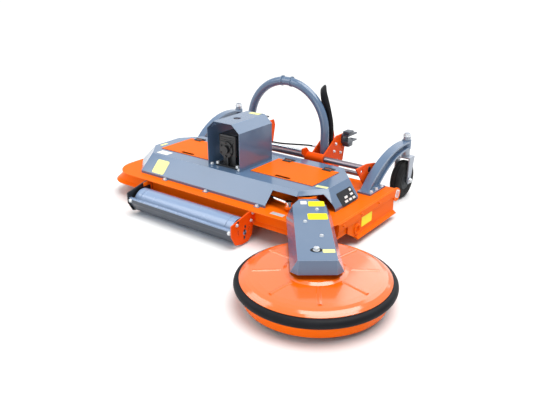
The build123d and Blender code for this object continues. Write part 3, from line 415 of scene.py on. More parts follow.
# Castor forks: the same zinc made greyer and a little duller, painted shade for forks seen dark
shaded_zinc = bare_metal("galvanised_steel_with_painted_shade", "#B4BAC4", "#8E949E", 0.36, 10.0, 0.05, 0.6)
# Slide bars: round steel made darker and pinker, painted shade for their dark lower halves
shaded_bar_steel = bare_metal("round_bar_steel_with_painted_shade", "#A79DA3", "#786F75", 0.28, 0.8, 0.05)
# Cylinder rods: hard chrome, a clear mirror
hard_chrome = bare_metal("hard_chrome", "#E3E5E7", "#D2D5D8", 0.10, 0.6, 0.01)
# The disc's bumper ring: moulded rubber, blue-black and matt
ring_rubber = moulded("moulded_ring_rubber", "#0B0C10", "#17191F", 0.55, 1.6, 0.10)
# Castor tyres: solid rubber with a grey bloom
tyre_rubber = moulded("solid_tyre_rubber", "#1B1B1C", "#3A3936", 0.78, 2.0, 0.2)
# Hoses and their sleeve: smooth rubber cover
hose_rubber = moulded("hydraulic_hose_rubber", "#121315", "#2B2D30", 0.5, 1.0, 0.1)
# Drive belts: cloth-wrapped rubber, dry and matt
belt_rubber = moulded("wrapped_belt_rubber", "#1D1D1C", "#3B3A37", 0.8, 1.2, 0.2)
# Wheel rims: moulded nylon with a dull shine
rim_plastic = moulded("moulded_nylon", "#2D3033", "#454A4E", 0.5, 0.8, 0.05)
# Blank labels: vinyl film in the colours of the real ones
white_film = film("white_vinyl_film", "#F1F1EE", "#DDDDD8")
yellow_film = film("yellow_vinyl_film", "#FFF000", "#F8E400")
yellow_pale_film = film("pale_yellow_vinyl_film", "#F1EFA6", "#ECE896")
dark_film = film("charcoal_vinyl_film", "#2A2C2F", "#1E2022")
red_film = film("red_vinyl_film", "#D8231C", "#C01D17")

FINISH = {
    "orange_paint": orange_coat,
    "grey_paint": grey_coat,
    "black_paint": black_coat,
    "cast_grey": cast_coat,
    "machined_steel": turned_steel,
    "blade_steel": blade_steel,
    "zinc_plate": zinc_plate,
    "chrome_rod": hard_chrome,
    "ring_rubber": ring_rubber,
    "tyre_rubber": tyre_rubber,
    "hose_rubber": hose_rubber,
    "belt_rubber": belt_rubber,
    "rim_plastic": rim_plastic,
}
# Solids whose finish differs from the rest of their slot
OWN_FINISH = {
    "feeler_disc": disc_coat,
    "headstock": shaded_orange_coat,
    "slide_bracket_left": shaded_orange_coat,
    "slide_bracket_right": shaded_orange_coat,
    "roller_plate_right": shaded_orange_coat,
    "roller": sky_paled_grey_coat,
    "scraper_bar": shade_coat,
    "link_block_left": shade_coat,
    "link_block_right": shade_coat,
    "castor_fork_left": shaded_zinc,
    "castor_fork_right": shaded_zinc,
    "slide_bars": shaded_bar_steel,
}
for entry in frame["record"]["subparts"]:
    node = entry["node"]
    solid = frame["nodes"][node]
    solid.data.materials.clear()
    solid.data.materials.append(OWN_FINISH.get(node, FINISH[entry["material_slot"]]))


# Making pieces; the values in this section are in metres
SMOOTH_BELOW = math.radians(32)
MERGE_WITHIN = 0.00002
WASHER_SUNK = 0.0006  # how far a washer's underside goes into the face
WASHER_HIGH = 0.0022
WASHER_SEAT = 0.0010  # where the head stands on its washer
WASHER_SPREAD = 0.68  # the washer's radius as a share of the head's width across flats
HEX_CORNER = 0.577  # the same for the hexagon's corners
LABEL_SUNK = 0.0004
LABEL_PROUD = 0.0006
EDGE_BEVEL = {
    "offset_type": "OFFSET",
    "segments": 2,
    "profile": 0.5,
    "affect": "EDGES",
    "material": -1,
}


def finish_piece(name, bm, material, body, smooth=True, nodes=()):
    """Turns a bmesh into a piece at the origin that rides on a body."""
    bmesh.ops.remove_doubles(bm, verts=bm.verts, dist=MERGE_WITHIN)
    bmesh.ops.recalc_face_normals(bm, faces=bm.faces)
    mesh = bpy.data.meshes.new(name)
    bm.to_mesh(mesh)
    bm.free()
    mesh.materials.append(material)
    piece = bpy.data.objects.new(name, mesh)
    bpy.context.scene.collection.objects.link(piece)
    if smooth:
        mesh.shade_smooth()
        mesh.set_sharp_from_angle(angle=SMOOTH_BELOW)
    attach(piece, body)
    if nodes:
        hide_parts(*nodes)


def turn_to(direction):
    """A rotation that takes +Z to the given direction."""
    return Vector(direction).normalized().to_track_quat("Z", "Y").to_matrix().to_4x4()


def add_bolt(bm, place, direction, across, high):
    """A hex head on its washer, standing on a face at place and looking along direction."""
    stand = Matrix.Translation(place) @ turn_to(direction)
    bmesh.ops.create_cone(
        bm,
        cap_ends=True,
        segments=20,
        radius1=across * WASHER_SPREAD,
        radius2=across * (WASHER_SPREAD - 0.02),
        depth=WASHER_HIGH,
        matrix=stand @ Matrix.Translation((0, 0, WASHER_HIGH / 2 - WASHER_SUNK)),
    )
    head = bmesh.ops.create_cone(
        bm,
        cap_ends=True,
        segments=6,
        radius1=across * HEX_CORNER,
        radius2=across * HEX_CORNER,
        depth=high,
        matrix=stand @ Matrix.Translation((0, 0, WASHER_SEAT + high / 2)),
    )
    edges = {e for v in head["verts"] for e in v.link_edges}
    level = WASHER_SEAT + high * 0.9
    to_face = stand.inverted()
    top = [e for e in edges if all((to_face @ v.co).z > level for v in e.verts)]
    bmesh.ops.bevel(bm, geom=top, offset=high * 0.14, **EDGE_BEVEL)


def bolts(name, body, rows, across, high, material=zinc_plate):
    """One piece of bolts, sizes in millimetres; a row is a place and the way the head looks."""
    bm = bmesh.new()
    for place, direction in rows:
        add_bolt(bm, at(*place), direction, across / 1000, high / 1000)
    finish_piece(name, bm, material, body)


def add_label(bm, place, normal, along, long_side, short_side):
    """A blank label: a thin plate with rounded corners, lying on a face."""
    n = Vector(normal).normalized()
    u = Vector(along).normalized()
    u = (u - n * u.dot(n)).normalized()
    w = n.cross(u)
    corner = min(long_side, short_side) * 0.12
    ring = []
    for sx, sy, start in ((1, 1, 0), (-1, 1, 90), (-1, -1, 180), (1, -1, 270)):
        for step in range(5):
            a = math.radians(start + step * 22.5)
            cx = sx * (long_side / 2 - corner) + corner * math.cos(a)
            cy = sy * (short_side / 2 - corner) + corner * math.sin(a)
            ring.append(bm.verts.new(Vector(place) + u * cx + w * cy - n * LABEL_SUNK))
    low = bm.faces.new(ring)
    lifted = bmesh.ops.extrude_face_region(bm, geom=[low])
    top = [v for v in lifted["geom"] if isinstance(v, bmesh.types.BMVert)]
    bmesh.ops.translate(bm, verts=top, vec=n * (LABEL_PROUD + LABEL_SUNK))


def labels(name, body, material, rows):
    """One piece of labels; a row is a place, the face's normal, the long side's way and sizes."""
    bm = bmesh.new()
    for place, normal, along, long_side, short_side in rows:
        add_label(bm, at(*place), normal, along, long_side / 1000, short_side / 1000)
    finish_piece(name, bm, material, body, smooth=False)


def add_block(bm, low, high, edge=0.8):
    """A block between two corners of the machine, its edges rounded."""
    a, b = at(*low), at(*high)
    middle, size = (a + b) / 2, b - a
    made = bmesh.ops.create_cube(
        bm, size=1.0, matrix=Matrix.Translation(middle) @ Matrix.Diagonal((*size, 1.0))
    )
    edges = list({e for v in made["verts"] for e in v.link_edges})
    bmesh.ops.bevel(bm, geom=edges, offset=edge / 1000, **EDGE_BEVEL)


def add_round(bm, start, end, radius, segments=28):
    """A closed round bar between two points of the machine."""
    a, b = at(*start), at(*end)
    bmesh.ops.create_cone(
        bm,
        cap_ends=True,
        segments=segments,
        radius1=radius / 1000,
        radius2=radius / 1000,
        depth=(b - a).length,
        matrix=Matrix.Translation((a + b) / 2) @ turn_to(b - a),
    )


# Hoses: the outer and the inner loop share the pair's route, the third crosses the headstock
OUTER_LOOP = (
    (352, 520, 264),
    (352, 520, 340),
    (371, 505, 443),
    (384, 500, 516),
    (360, 500, 611),
    (336, 500, 690),
    (318, 500, 740),
    (300, 524, 770),
    (275, 558, 770),
    (257, 582, 740),
    (262, 588, 680),
    (290, 588, 611),
    (326, 586, 516),
    (334, 584, 443),
    (336, 575, 340),
    (336, 575, 264),
)
INNER_LOOP = (
    (324, 520, 264),
    (324, 520, 336),
    (343, 505, 440),
    (356, 500, 512),
    (333, 500, 600),
    (309, 500, 668),
    (291, 500, 712),
    (273, 524, 742),
    (248, 558, 742),
    (230, 582, 712),
    (235, 588, 655),
    (264, 587, 590),
    (298, 586, 515),
    (309, 584, 448),
    (310, 576, 340),
    (310, 576, 264),
)
CROSS_LINE = (
    (-238, 468, 322),
    (-180, 468, 322),
    (-108, 470, 317),
    (-20, 474, 320),
    (70, 475, 331),
    (160, 474, 343),
    (230, 468, 352),
    (288, 468, 352),
)
LOOP_R = 7.0
CROSS_R = 6.0


def hose(name, points, radius, node):
    """A rubber hose on the same control points as its solid, as one smooth line."""
    curve = bpy.data.curves.new(name, "CURVE")
    curve.dimensions = "3D"
    spline = curve.splines.new("NURBS")
    spline.points.add(len(points) - 1)
    for point, place in zip(spline.points, points):
        point.co = (*at(*place), 1.0)
    spline.order_u = 3
    spline.use_endpoint_u = True
    spline.resolution_u = 8
    curve.bevel_depth = radius / 1000
    curve.bevel_resolution = 6
    curve.use_fill_caps = True
    curve.materials.append(hose_rubber)
    piece = bpy.data.objects.new(name, curve)
    bpy.context.scene.collection.objects.link(piece)
    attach(piece, "hitch")
    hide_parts(node)


hose("loop_hose_outer", OUTER_LOOP, LOOP_R, "hose_loop_outer")
hose("loop_hose_inner", INNER_LOOP, LOOP_R, "hose_loop_inner")
hose("cross_line_hose", CROSS_LINE, CROSS_R, "cross_hose")


# Levels and faces of the solids that small pieces stand on, and the ways that these face
DECK_TOP = 200.0
HOOD_TOP = 320.0
GUARD_TOP = 622.0
SKID_FACE_X = 934.0
SKID_WALL_X = 926.0
UP = (0, 0, 1)
FORWARD = (0, 1, 0)
BACK = (0, -1, 0)
RIGHT = (1, 0, 0)
LEFT = (-1, 0, 0)
SHEET_GAP = 0.2
TAB_HIGH = 4.2

# The hood is held by bolts on small tabs along its foot, three behind and two in front
HOOD_TABS = ((-389, -1), (397, -1), (-20, -1), (-300, 1), (470, 1))
HOOD_FOOT_REAR = -353.0
HOOD_FOOT_FRONT = 300.0
TAB_HALF = 19.0
TAB_DEEP = 24.0
TAB_UNDER = 1.0
TAB_BOLT = 13.0


def dress_hood():
    tabs = bmesh.new()
    rows = []
    for x, side in HOOD_TABS:
        foot = HOOD_FOOT_REAR if side < 0 else HOOD_FOOT_FRONT
        near, far = sorted((foot - side * TAB_UNDER, foot + side * TAB_DEEP))
        low = (x - TAB_HALF, near, DECK_TOP + SHEET_GAP)
        add_block(tabs, low, (x + TAB_HALF, far, DECK_TOP + TAB_HIGH))
        rows.append(((x, foot + side * TAB_BOLT, DECK_TOP + TAB_HIGH), UP))
    finish_piece("hood_tabs", tabs, grey_coat, "frame")
    bolts("hood_bolts", "frame", rows, across=19, high=10)


# The guard stands on four foot tabs in its corners
GUARD_TAB_X = 116.0
GUARD_TAB_Y = (-186.0, 112.0)
GUARD_BOLT_Y = (-190.0, 112.0)
GUARD_TAB_HALF_X = 16.0
GUARD_TAB_HALF_Y = 18.0


def dress_guard():
    tabs = bmesh.new()
    for x in (-GUARD_TAB_X, GUARD_TAB_X):
        for y in GUARD_TAB_Y:
            low = (x - GUARD_TAB_HALF_X, y - GUARD_TAB_HALF_Y, HOOD_TOP + SHEET_GAP)
            high = (x + GUARD_TAB_HALF_X, y + GUARD_TAB_HALF_Y, HOOD_TOP + TAB_HIGH)
            add_block(tabs, low, high)
    finish_piece("guard_tabs", tabs, grey_coat, "frame")
    rows = []
    for x in (-GUARD_TAB_X, GUARD_TAB_X):
        for y in GUARD_BOLT_Y:
            rows.append(((x, y, HOOD_TOP + TAB_HIGH), UP))
    bolts("guard_bolts", "frame", rows, across=18, high=11)


# Gearbox: foot bolts, a circle of bolts round the rear cover, cooling ribs, the cover's boss and a
# hexagonal plug
SHAFT_Z = 440.0
FLANGE_TOP = HOOD_TOP + 10.0
FLANGE_BOLT_X = (-84.0, 84.0)
FLANGE_BOLT_Y = (-168.0, -22.0)
COVER_CIRCLE_R = 45.0
COVER_FACE_Y = -180.0
RIB_LEVELS = (486.0, 500.0, 514.0)
RIB_HIGH = 4.0
RIB_BACK_HALF = 58.0
RIB_BACK_Y = (-174.5, -168.0)
RIB_SIDE_X = (73.0, 79.5)
RIB_SIDE_Y = (-150.0, -40.0)
BOSS_Y = (-182.0, -196.0)
BOSS_R = 27.0
PLUG_X = 38.0
PLUG_Y = (-172.0, -182.0)
PLUG_Z = 466.0
PLUG_R = 11.0


def dress_gearbox():
    feet = [((x, y, FLANGE_TOP), UP) for x in FLANGE_BOLT_X for y in FLANGE_BOLT_Y]
    bolts("gearbox_foot_bolts", "frame", feet, across=20, high=13)
    circle = []
    for a in map(math.radians, range(30, 390, 60)):
        x = COVER_CIRCLE_R * math.cos(a)
        circle.append(((x, COVER_FACE_Y, SHAFT_Z + COVER_CIRCLE_R * math.sin(a)), BACK))
    bolts("gearbox_cover_bolts", "frame", circle, 12, 7, black_coat)
    ribs = bmesh.new()
    for z in RIB_LEVELS:
        rear, front = RIB_BACK_Y
        add_block(ribs, (-RIB_BACK_HALF, rear, z), (RIB_BACK_HALF, front, z + RIB_HIGH))
        rear, front = RIB_SIDE_Y
        for side in (-1, 1):
            low_x, high_x = sorted(side * x for x in RIB_SIDE_X)
            add_block(ribs, (low_x, rear, z), (high_x, front, z + RIB_HIGH))
    front, rear = BOSS_Y
    add_round(ribs, (0, front, SHAFT_Z), (0, rear, SHAFT_Z), BOSS_R)
    front, rear = PLUG_Y
    add_round(ribs, (PLUG_X, front, PLUG_Z), (PLUG_X, rear, PLUG_Z), PLUG_R, segments=6)
    finish_piece("gearbox_ribs", ribs, black_coat, "frame")


# Hinges of the lids: a leaf and its middle knuckle on the lid, a leaf and the outer ones on the hood
LID_NEAR = 170.0
LID_FAR = 645.0
LID_MIDDLE = (LID_NEAR + LID_FAR) / 2
HINGE_OFF = (LID_FAR - LID_NEAR) * 0.33
LEAF_HALF = 32.0
LEAF_Y = (136.0, 171.0)
LEAF_LOW = 324.4
LEAF_TOP = 329.6
SEAT_Y = (181.6, 205.0)
SEAT_LOW = HOOD_TOP + 0.1
SEAT_TOP = HOOD_TOP + 5.0
KNUCKLE_Y = 173.0
KNUCKLE_Z = 326.3
KNUCKLE_R = 8.2
KNUCKLE_HALF = 24.0
KNUCKLE_GAP = 1.0
KNUCKLE_END = 31.0
SCREW_OFF = 19.0
SCREW_Y = 149.0


def dress_lid(side, body):
    moving = bmesh.new()
    fixed = bmesh.new()
    screws = []
    for x in (side * LID_MIDDLE - HINGE_OFF, side * LID_MIDDLE + HINGE_OFF):
        rear, front = LEAF_Y
        add_block(moving, (x - LEAF_HALF, rear, LEAF_LOW), (x + LEAF_HALF, front, LEAF_TOP))
        rear, front = SEAT_Y
        add_block(fixed, (x - LEAF_HALF, rear, SEAT_LOW), (x + LEAF_HALF, front, SEAT_TOP))
        inner, outer = (
            [(x + end * off, KNUCKLE_Y, KNUCKLE_Z) for end in (-1, 1)]
            for off in (KNUCKLE_HALF + KNUCKLE_GAP, KNUCKLE_END)
        )
        middle = [(x + end * KNUCKLE_HALF, KNUCKLE_Y, KNUCKLE_Z) for end in (-1, 1)]
        add_round(moving, *middle, KNUCKLE_R)
        for near, far in zip(inner, outer):
            add_round(fixed, near, far, KNUCKLE_R)
        for end in (-1, 1):
            screws.append(((x + end * SCREW_OFF, SCREW_Y, LEAF_TOP), UP))
    finish_piece(f"hinge_leaf_{body}", moving, black_coat, body)
    finish_piece(f"hinge_seat_{body}", fixed, black_coat, "frame")
    bolts(f"hinge_screws_{body}", body, screws, 9, 3, black_coat)


# Castors: foot bolts on the arms, nuts on the spindles and the axles
LEFT_STEM_X = -718.0
RIGHT_STEM_X = 800.0
STEM_Y = 810.0
STEM_TOP = 441.0
AXLE_Y = 780.0
AXLE_Z = 135.0
AXLE_HALF = 61.0
FOOT_TOP = 212.0
FOOT_BOLTS = ((846, 232), (846, 300), (846, 372), (-765, 282), (-765, 372))


def dress_castors():
    feet = [((x, y, FOOT_TOP), UP) for x, y in FOOT_BOLTS]
    bolts("castor_foot_bolts", "frame", feet, across=19, high=11)
    for x, body in ((LEFT_STEM_X, "left_castor"), (RIGHT_STEM_X, "right_castor")):
        stem = ((x, STEM_Y, STEM_TOP), UP)
        bolts(f"spindle_nut_{body}", body, [stem], across=46, high=17)
        ends = [((x - AXLE_HALF, AXLE_Y, AXLE_Z), LEFT), ((x + AXLE_HALF, AXLE_Y, AXLE_Z), RIGHT)]
        bolts(f"axle_nuts_{body}", body, ends, across=28, high=11)


# Half of a tyre's section, from the bore to the tread: the distance from the wheel's middle plane
# and the radius, with a bead line on the sidewall and a groove in the tread
TYRE_PROFILE = (
    (0, 70.4),
    (-32.0, 70.4),
    (-35.0, 74.0),
    (-35.0, 84.0),
    (-33.4, 86.0),
    (-35.0, 88.0),
    (-35.0, 110.0),
    (-33.0, 120.0),
    (-27.5, 128.0),
    (-20.0, 132.6),
    (-13.5, 134.3),
    (-13.0, 129.5),
    (-9.0, 129.5),
    (-8.5, 134.8),
    (0, 135.0),
)
TYRE_STEPS = 72
RIM_FACE_R = 52.0
RIM_FACE_OFF = (30.0, 33.5)
RIM_BOSS_OFF = (33.0, 36.0)
RIM_BOSS_R = 7.0
RIM_BOSS_CIRCLE_R = 37.0
RIM_BOSSES = 5


def dress_wheel(x, body, tyre_node):
    tyre = bmesh.new()
    half = [at(x + u, AXLE_Y, AXLE_Z + v) for u, v in TYRE_PROFILE]
    other = [at(x - u, AXLE_Y, AXLE_Z + v) for u, v in reversed(TYRE_PROFILE[1:-1])]
    verts = [tyre.verts.new(p) for p in half + other]
    section = [tyre.edges.new((a, b)) for a, b in zip(verts, verts[1:] + verts[:1])]
    bmesh.ops.spin(
        tyre,
        geom=verts + section,
        cent=at(x, AXLE_Y, AXLE_Z),
        axis=RIGHT,
        angle=math.tau,
        steps=TYRE_STEPS,
        use_merge=True,
    )
    finish_piece(f"tyre_{body}", tyre, tyre_rubber, body, nodes=(tyre_node,))
    # a plate with bosses on each side of the rim
    rim = bmesh.new()
    for side in (-1, 1):
        inner, outer = ((x + side * off, AXLE_Y, AXLE_Z) for off in RIM_FACE_OFF)
        add_round(rim, inner, outer, RIM_FACE_R, segments=40)
        for boss in range(RIM_BOSSES):
            a = math.tau * boss / RIM_BOSSES
            y = AXLE_Y + RIM_BOSS_CIRCLE_R * math.cos(a)
            z = AXLE_Z + RIM_BOSS_CIRCLE_R * math.sin(a)
            inner, outer = ((x + side * off, y, z) for off in RIM_BOSS_OFF)
            add_round(rim, inner, outer, RIM_BOSS_R, segments=16)
    finish_piece(f"rim_face_{body}", rim, rim_plastic, body)


# Hitch: bolts through both headstock plates, and cast cheeks above and below each lower link fork
HEADSTOCK_BOLTS = ((535, 377), (514, 328), (600, 300), (560, 250))
HEADSTOCK_RIGHT_X = 392.0
HEADSTOCK_LEFT_X = -342.0
LINK_FORKS_X = ((-397, -345), (395, 447))
# of the lower and the upper cheek: rear and front, bottom and top
CHEEKS = ((622, 682, 340, 370), (622, 690, 426, 450))


def dress_headstock():
    rows = []
    for y, z in HEADSTOCK_BOLTS:
        rows.append(((HEADSTOCK_RIGHT_X, y, z), RIGHT))
        rows.append(((HEADSTOCK_LEFT_X, y, z), LEFT))
    bolts("headstock_bolts", "hitch", rows, across=16, high=9)


def dress_link_forks():
    cheeks = bmesh.new()
    for low_x, high_x in LINK_FORKS_X:
        for rear, front, low, high in CHEEKS:
            add_block(cheeks, (low_x, rear, low), (high_x, front, high), edge=4)
    finish_piece("link_cheeks", cheeks, shade_coat, "hitch")


# Roller and scraper: bolts, the scraper's folded edge, pale as a painted highlight, the guard strips
# inside the left plate, and black marks on the right plate, painted shade where its height slots are
RIGHT_PLATE_X = 403.0
LEFT_PLATE_X = -498.0
PLATE_BOLTS = ((-412, 180), (-430, 138), (-560, 150))
PLATE_SLOTS = ((-494, 40, 60), (-486, 64, 78), (-492, 84, 102), (-485, 108, 126), (-549, 158, 172))
SLOT_HALF = 7.0
SLOT_PROUD = 1.2
SCRAPER_BOLTS = ((-474, -600, 108), (378, -600, 108))
# corners of the scraper's edge, and of the strips inside the left plate
SCRAPER_EDGE = ((-489.4, -600.5, 115), (394.4, -580, 124.7))
GUARD_STRIPS = (
    ((-489.9, -470, 163), (-487.6, -394, 191)),
    ((-489.9, -408, 96), (-487.6, -394, 163)),
)


def dress_roller_frame():
    bolts("scraper_bolts", "frame", [(place, BACK) for place in SCRAPER_BOLTS], across=20, high=9)
    rows = [((RIGHT_PLATE_X, y, z), RIGHT) for y, z in PLATE_BOLTS]
    rows += [((LEFT_PLATE_X, y, z), LEFT) for y, z in PLATE_BOLTS]
    bolts("roller_plate_bolts", "frame", rows, across=16, high=7)
    # the scraper's edge wears the paler grey as a painted highlight
    edge = bmesh.new()
    add_block(edge, *SCRAPER_EDGE)
    finish_piece("scraper_edge", edge, sky_paled_grey_coat, "frame")
    strips = bmesh.new()
    for low, high in GUARD_STRIPS:
        add_block(strips, low, high)
    finish_piece("roller_plate_guard", strips, orange_coat, "frame")
    # painted shade: black marks stand proud of the right plate where its height slots are
    slot_shade = bmesh.new()
    for y, low_z, high_z in PLATE_SLOTS:
        high = (RIGHT_PLATE_X + SLOT_PROUD, y + SLOT_HALF, high_z)
        add_block(slot_shade, (RIGHT_PLATE_X, y - SLOT_HALF, low_z), high, edge=0.4)
    finish_piece("roller_plate_slot_shade", slot_shade, black_coat, "frame")


# Hose ends: a hex and a crimped sleeve on each
LOOP_ENDS = ((352, 520), (324, 520), (336, 575), (310, 575))
LOOP_END_Z = 264.0
LOOP_HEX_R = 12.5
LOOP_CRIMP_R = 9.6
LOOP_RING_R = 10.4
LOOP_RING_LEVELS = (20.0, 29.0, 38.0)
CROSS_ENDS = ((-238, 322, 1), (288, 352, -1))
CROSS_Y = 468.0
CROSS_HEX_R = 11.0
CROSS_CRIMP_R = 8.4


def dress_hose_ends():
    ends = bmesh.new()
    for x, y in LOOP_ENDS:
        low = LOOP_END_Z
        add_round(ends, (x, y, low + 0.5), (x, y, low + 12), LOOP_HEX_R, segments=6)
        add_round(ends, (x, y, low + 11), (x, y, low + 48), LOOP_CRIMP_R)
        for rise in LOOP_RING_LEVELS:
            add_round(ends, (x, y, low + rise), (x, y, low + rise + 4), LOOP_RING_R)
    for x, z, side in CROSS_ENDS:
        start = (x + side * 0.3, CROSS_Y, z)
        add_round(ends, start, (x + side * 10, CROSS_Y, z), CROSS_HEX_R, segments=6)
        start = (x + side * 9, CROSS_Y, z)
        add_round(ends, start, (x + side * 40, CROSS_Y, z), CROSS_CRIMP_R)
    finish_piece("hose_ferrules", ends, zinc_plate, "hitch")


# A rubber sleeve holds both loops together: an oval tube round the two hoses
SLEEVE_FROM = 2
SLEEVE_TO = 14
SLEEVE_STEPS = 5
SLEEVE_SIDES = 16
SLEEVE_MARGIN = 8.8
SLEEVE_HALF_THICK = 9.2
SLEEVE_SQUARENESS = 0.75


def sleeve_rings():
    """Centre and half spread of the pair, along the same quadratic line as the hoses."""
    rings = []
    for i in range(SLEEVE_FROM, SLEEVE_TO):
        for k in range(SLEEVE_STEPS):
            t = k / SLEEVE_STEPS
            weights = (0.5 * (1 - t) ** 2, 0.5 + t * (1 - t), 0.5 * t * t)
            a = sum((w * at(*OUTER_LOOP[i - 1 + j]) for j, w in enumerate(weights)), Vector())
            b = sum((w * at(*INNER_LOOP[i - 1 + j]) for j, w in enumerate(weights)), Vector())
            rings.append(((a + b) / 2, (a - b) / 2))
    return rings


def rounded(part):
    """A sine or cosine pushed outwards, so that an ellipse becomes a rounded oblong."""
    return math.copysign(abs(part) ** SLEEVE_SQUARENESS, part)


def dress_hose_pair():
    sleeve = bmesh.new()
    rings = sleeve_rings()
    previous = []
    for i, (middle, spread) in enumerate(rings):
        ahead = rings[min(i + 1, len(rings) - 1)][0] - rings[max(i - 1, 0)][0]
        wide = spread.normalized()
        thin = ahead.normalized().cross(wide).normalized()
        reach = spread.length + SLEEVE_MARGIN / 1000
        verts = []
        for step in range(SLEEVE_SIDES):
            a = math.tau * step / SLEEVE_SIDES
            u = rounded(math.cos(a)) * reach
            v = rounded(math.sin(a)) * SLEEVE_HALF_THICK / 1000
            verts.append(sleeve.verts.new(middle + wide * u + thin * v))
        edges = [sleeve.edges.new(pair) for pair in zip(verts, verts[1:] + verts[:1])]
        if previous:
            bmesh.ops.bridge_loops(sleeve, edges=previous + edges)
        else:
            sleeve.faces.new(verts)
        previous = edges
    sleeve.faces.new(verts)
    finish_piece("hose_sleeve", sleeve, hose_rubber, "hitch")


# Blank labels on the hood, the guard and the end plate, and the control board with its fields
HOOD_FOOT_X = 818.0
HOOD_FOOT_Z = 217.0
SLOPE_RUN = 78.0
SLOPE_RISE = 103.0
REAR_SLOPE = (0, -1, 1)
SIDE_SLOPE = (SLOPE_RISE, 0, SLOPE_RUN)
BOARD_X = 797.0
BOARD_Y = 10.0
# the board's fields: along the board, down the slope, length and height
BOARD_FIELDS = (
    (62, -27, 20, 16),
    (-10, 2, 34, 14),
    (56, 0, 30, 14),
    (-26, 26, 34, 14),
    (20, 26, 30, 14),
    (62, 26, 28, 14),
)


def label_hood():
    yellow = [
        ((-482, -310.5, 259.5), REAR_SLOPE, RIGHT, 112, 104),
        ((-702, -62, HOOD_TOP), UP, FORWARD, 62, 26),
        ((696, -114, HOOD_TOP), UP, (1, 0.15, 0), 76, 28),
        ((14, 108, GUARD_TOP), UP, RIGHT, 84, 40),
    ]
    labels("hood_labels_yellow", "frame", yellow_pale_film, yellow)
    white = [
        ((-552, -200, HOOD_TOP), UP, RIGHT, 104, 62),
        ((SKID_FACE_X, 432, 162), RIGHT, (0, 1, -0.4), 52, 52),
    ]
    labels("hood_labels_white", "frame", white_film, white)


def dress_board():
    board = Vector((BOARD_X, BOARD_Y, HOOD_FOOT_Z + (HOOD_FOOT_X - BOARD_X) * SLOPE_RISE / SLOPE_RUN))
    labels("control_board", "frame", dark_film, [(board, SIDE_SLOPE, FORWARD, 172, 88)])
    down = Vector((SLOPE_RUN, 0, -SLOPE_RISE)).normalized()
    lift = Vector(SIDE_SLOPE).normalized() * 0.7
    rows = []
    for u, v, long_side, short_side in BOARD_FIELDS:
        place = board + Vector((0, u, 0)) + down * v + lift
        rows.append((place, SIDE_SLOPE, FORWARD, long_side, short_side))
    labels("board_fields", "frame", white_film, rows)


# The long end plate: bolts in its own colour, a label, and the stripes of a reflector
SKID_BOLT_Y = (-250.0, -40.0, 180.0)
SKID_BOLT_Z = 180.0


def dress_skid():
    rows = [((SKID_FACE_X, y, SKID_BOLT_Z), RIGHT) for y in SKID_BOLT_Y]
    bolts("skid_bolts", "frame", rows, 15, 7, orange_coat)
    labels("skid_label", "frame", yellow_film, [((SKID_WALL_X, 40, 118), RIGHT, FORWARD, 128, 62)])
    stripes = []
    for i in range(3):
        place = (SKID_FACE_X + 0.7, 420 + 12 * i, 166 - 6 * i)
        stripes.append((place, RIGHT, (0, 0.4, 1), 40, 5))
    labels("reflector_stripes", "frame", red_film, stripes)


def label_deck():
    plate = ((563, -380, DECK_TOP), UP, RIGHT, 92, 34)
    labels("deck_plate", "frame", zinc_plate, [plate])


# Swing arm: labels, bolts, and the spindle's bolt on its grommet, placed along and across the arm
ARM_PIVOT = (650.0, -200.0)
DISC_CENTRE = (1090.0, -779.0)
ARM_TURN = math.atan2(DISC_CENTRE[1] - ARM_PIVOT[1], DISC_CENTRE[0] - ARM_PIVOT[0])
ACROSS = (-math.sin(ARM_TURN), math.cos(ARM_TURN), 0)
COVER_TOP = 288.0
SPINDLE_ALONG = 731.0
GROMMET_R = 30.0
GROMMET_HIGH = 2.4
GROMMET_NARROW = 0.75


def on_cover(along, across, rise=0.0):
    """A point on the arm cover's top, from distances along and across the arm."""
    c, n = math.cos(ARM_TURN), math.sin(ARM_TURN)
    x = ARM_PIVOT[0] + along * c - across * n
    y = ARM_PIVOT[1] + along * n + across * c
    return (x, y, COVER_TOP + rise)


def dress_cover():
    yellow = [
        (on_cover(146, 42), UP, ACROSS, 92, 74),
        (on_cover(326, 36), UP, ACROSS, 108, 82),
    ]
    labels("cover_labels_yellow", "arm", yellow_film, yellow)
    labels("cover_labels_pale", "arm", yellow_pale_film, [(on_cover(741, 60), UP, ACROSS, 60, 36)])
    labels("cover_label_white", "arm", white_film, [(on_cover(128, -30), UP, ACROSS, 36, 48)])
    rows = [(on_cover(230, 40), UP), (on_cover(397, -36), UP), (on_cover(575, 38), UP)]
    bolts("cover_bolts", "arm", rows, across=17, high=8)
    grommet = bmesh.new()
    spot = at(*on_cover(SPINDLE_ALONG, 0))
    bmesh.ops.create_cone(
        grommet,
        cap_ends=True,
        segments=40,
        radius1=GROMMET_R / 1000,
        radius2=GROMMET_R / 1000,
        depth=GROMMET_HIGH / 1000,
        matrix=Matrix.Translation(spot)
        @ Matrix.Rotation(ARM_TURN + math.pi / 2, 4, "Z")
        @ Matrix.Diagonal((1.0, GROMMET_NARROW, 1.0, 1.0)),
    )
    finish_piece("cover_grommet", grommet, hose_rubber, "arm")
    centre = on_cover(SPINDLE_ALONG, 0, GROMMET_HIGH / 2)
    bolts("cover_centre_bolt", "arm", [(centre, UP)], across=26, high=14)


dress_hood()
dress_guard()
dress_gearbox()
dress_lid(-1, "left_lid")
dress_lid(1, "right_lid")
dress_castors()
dress_wheel(LEFT_STEM_X, "left_wheel", "castor_tyre_left")
dress_wheel(RIGHT_STEM_X, "right_wheel", "castor_tyre_right")
dress_headstock()
dress_link_forks()
dress_roller_frame()
dress_hose_ends()
dress_hose_pair()
label_hood()
dress_board()
dress_skid()
label_deck()
dress_cover()


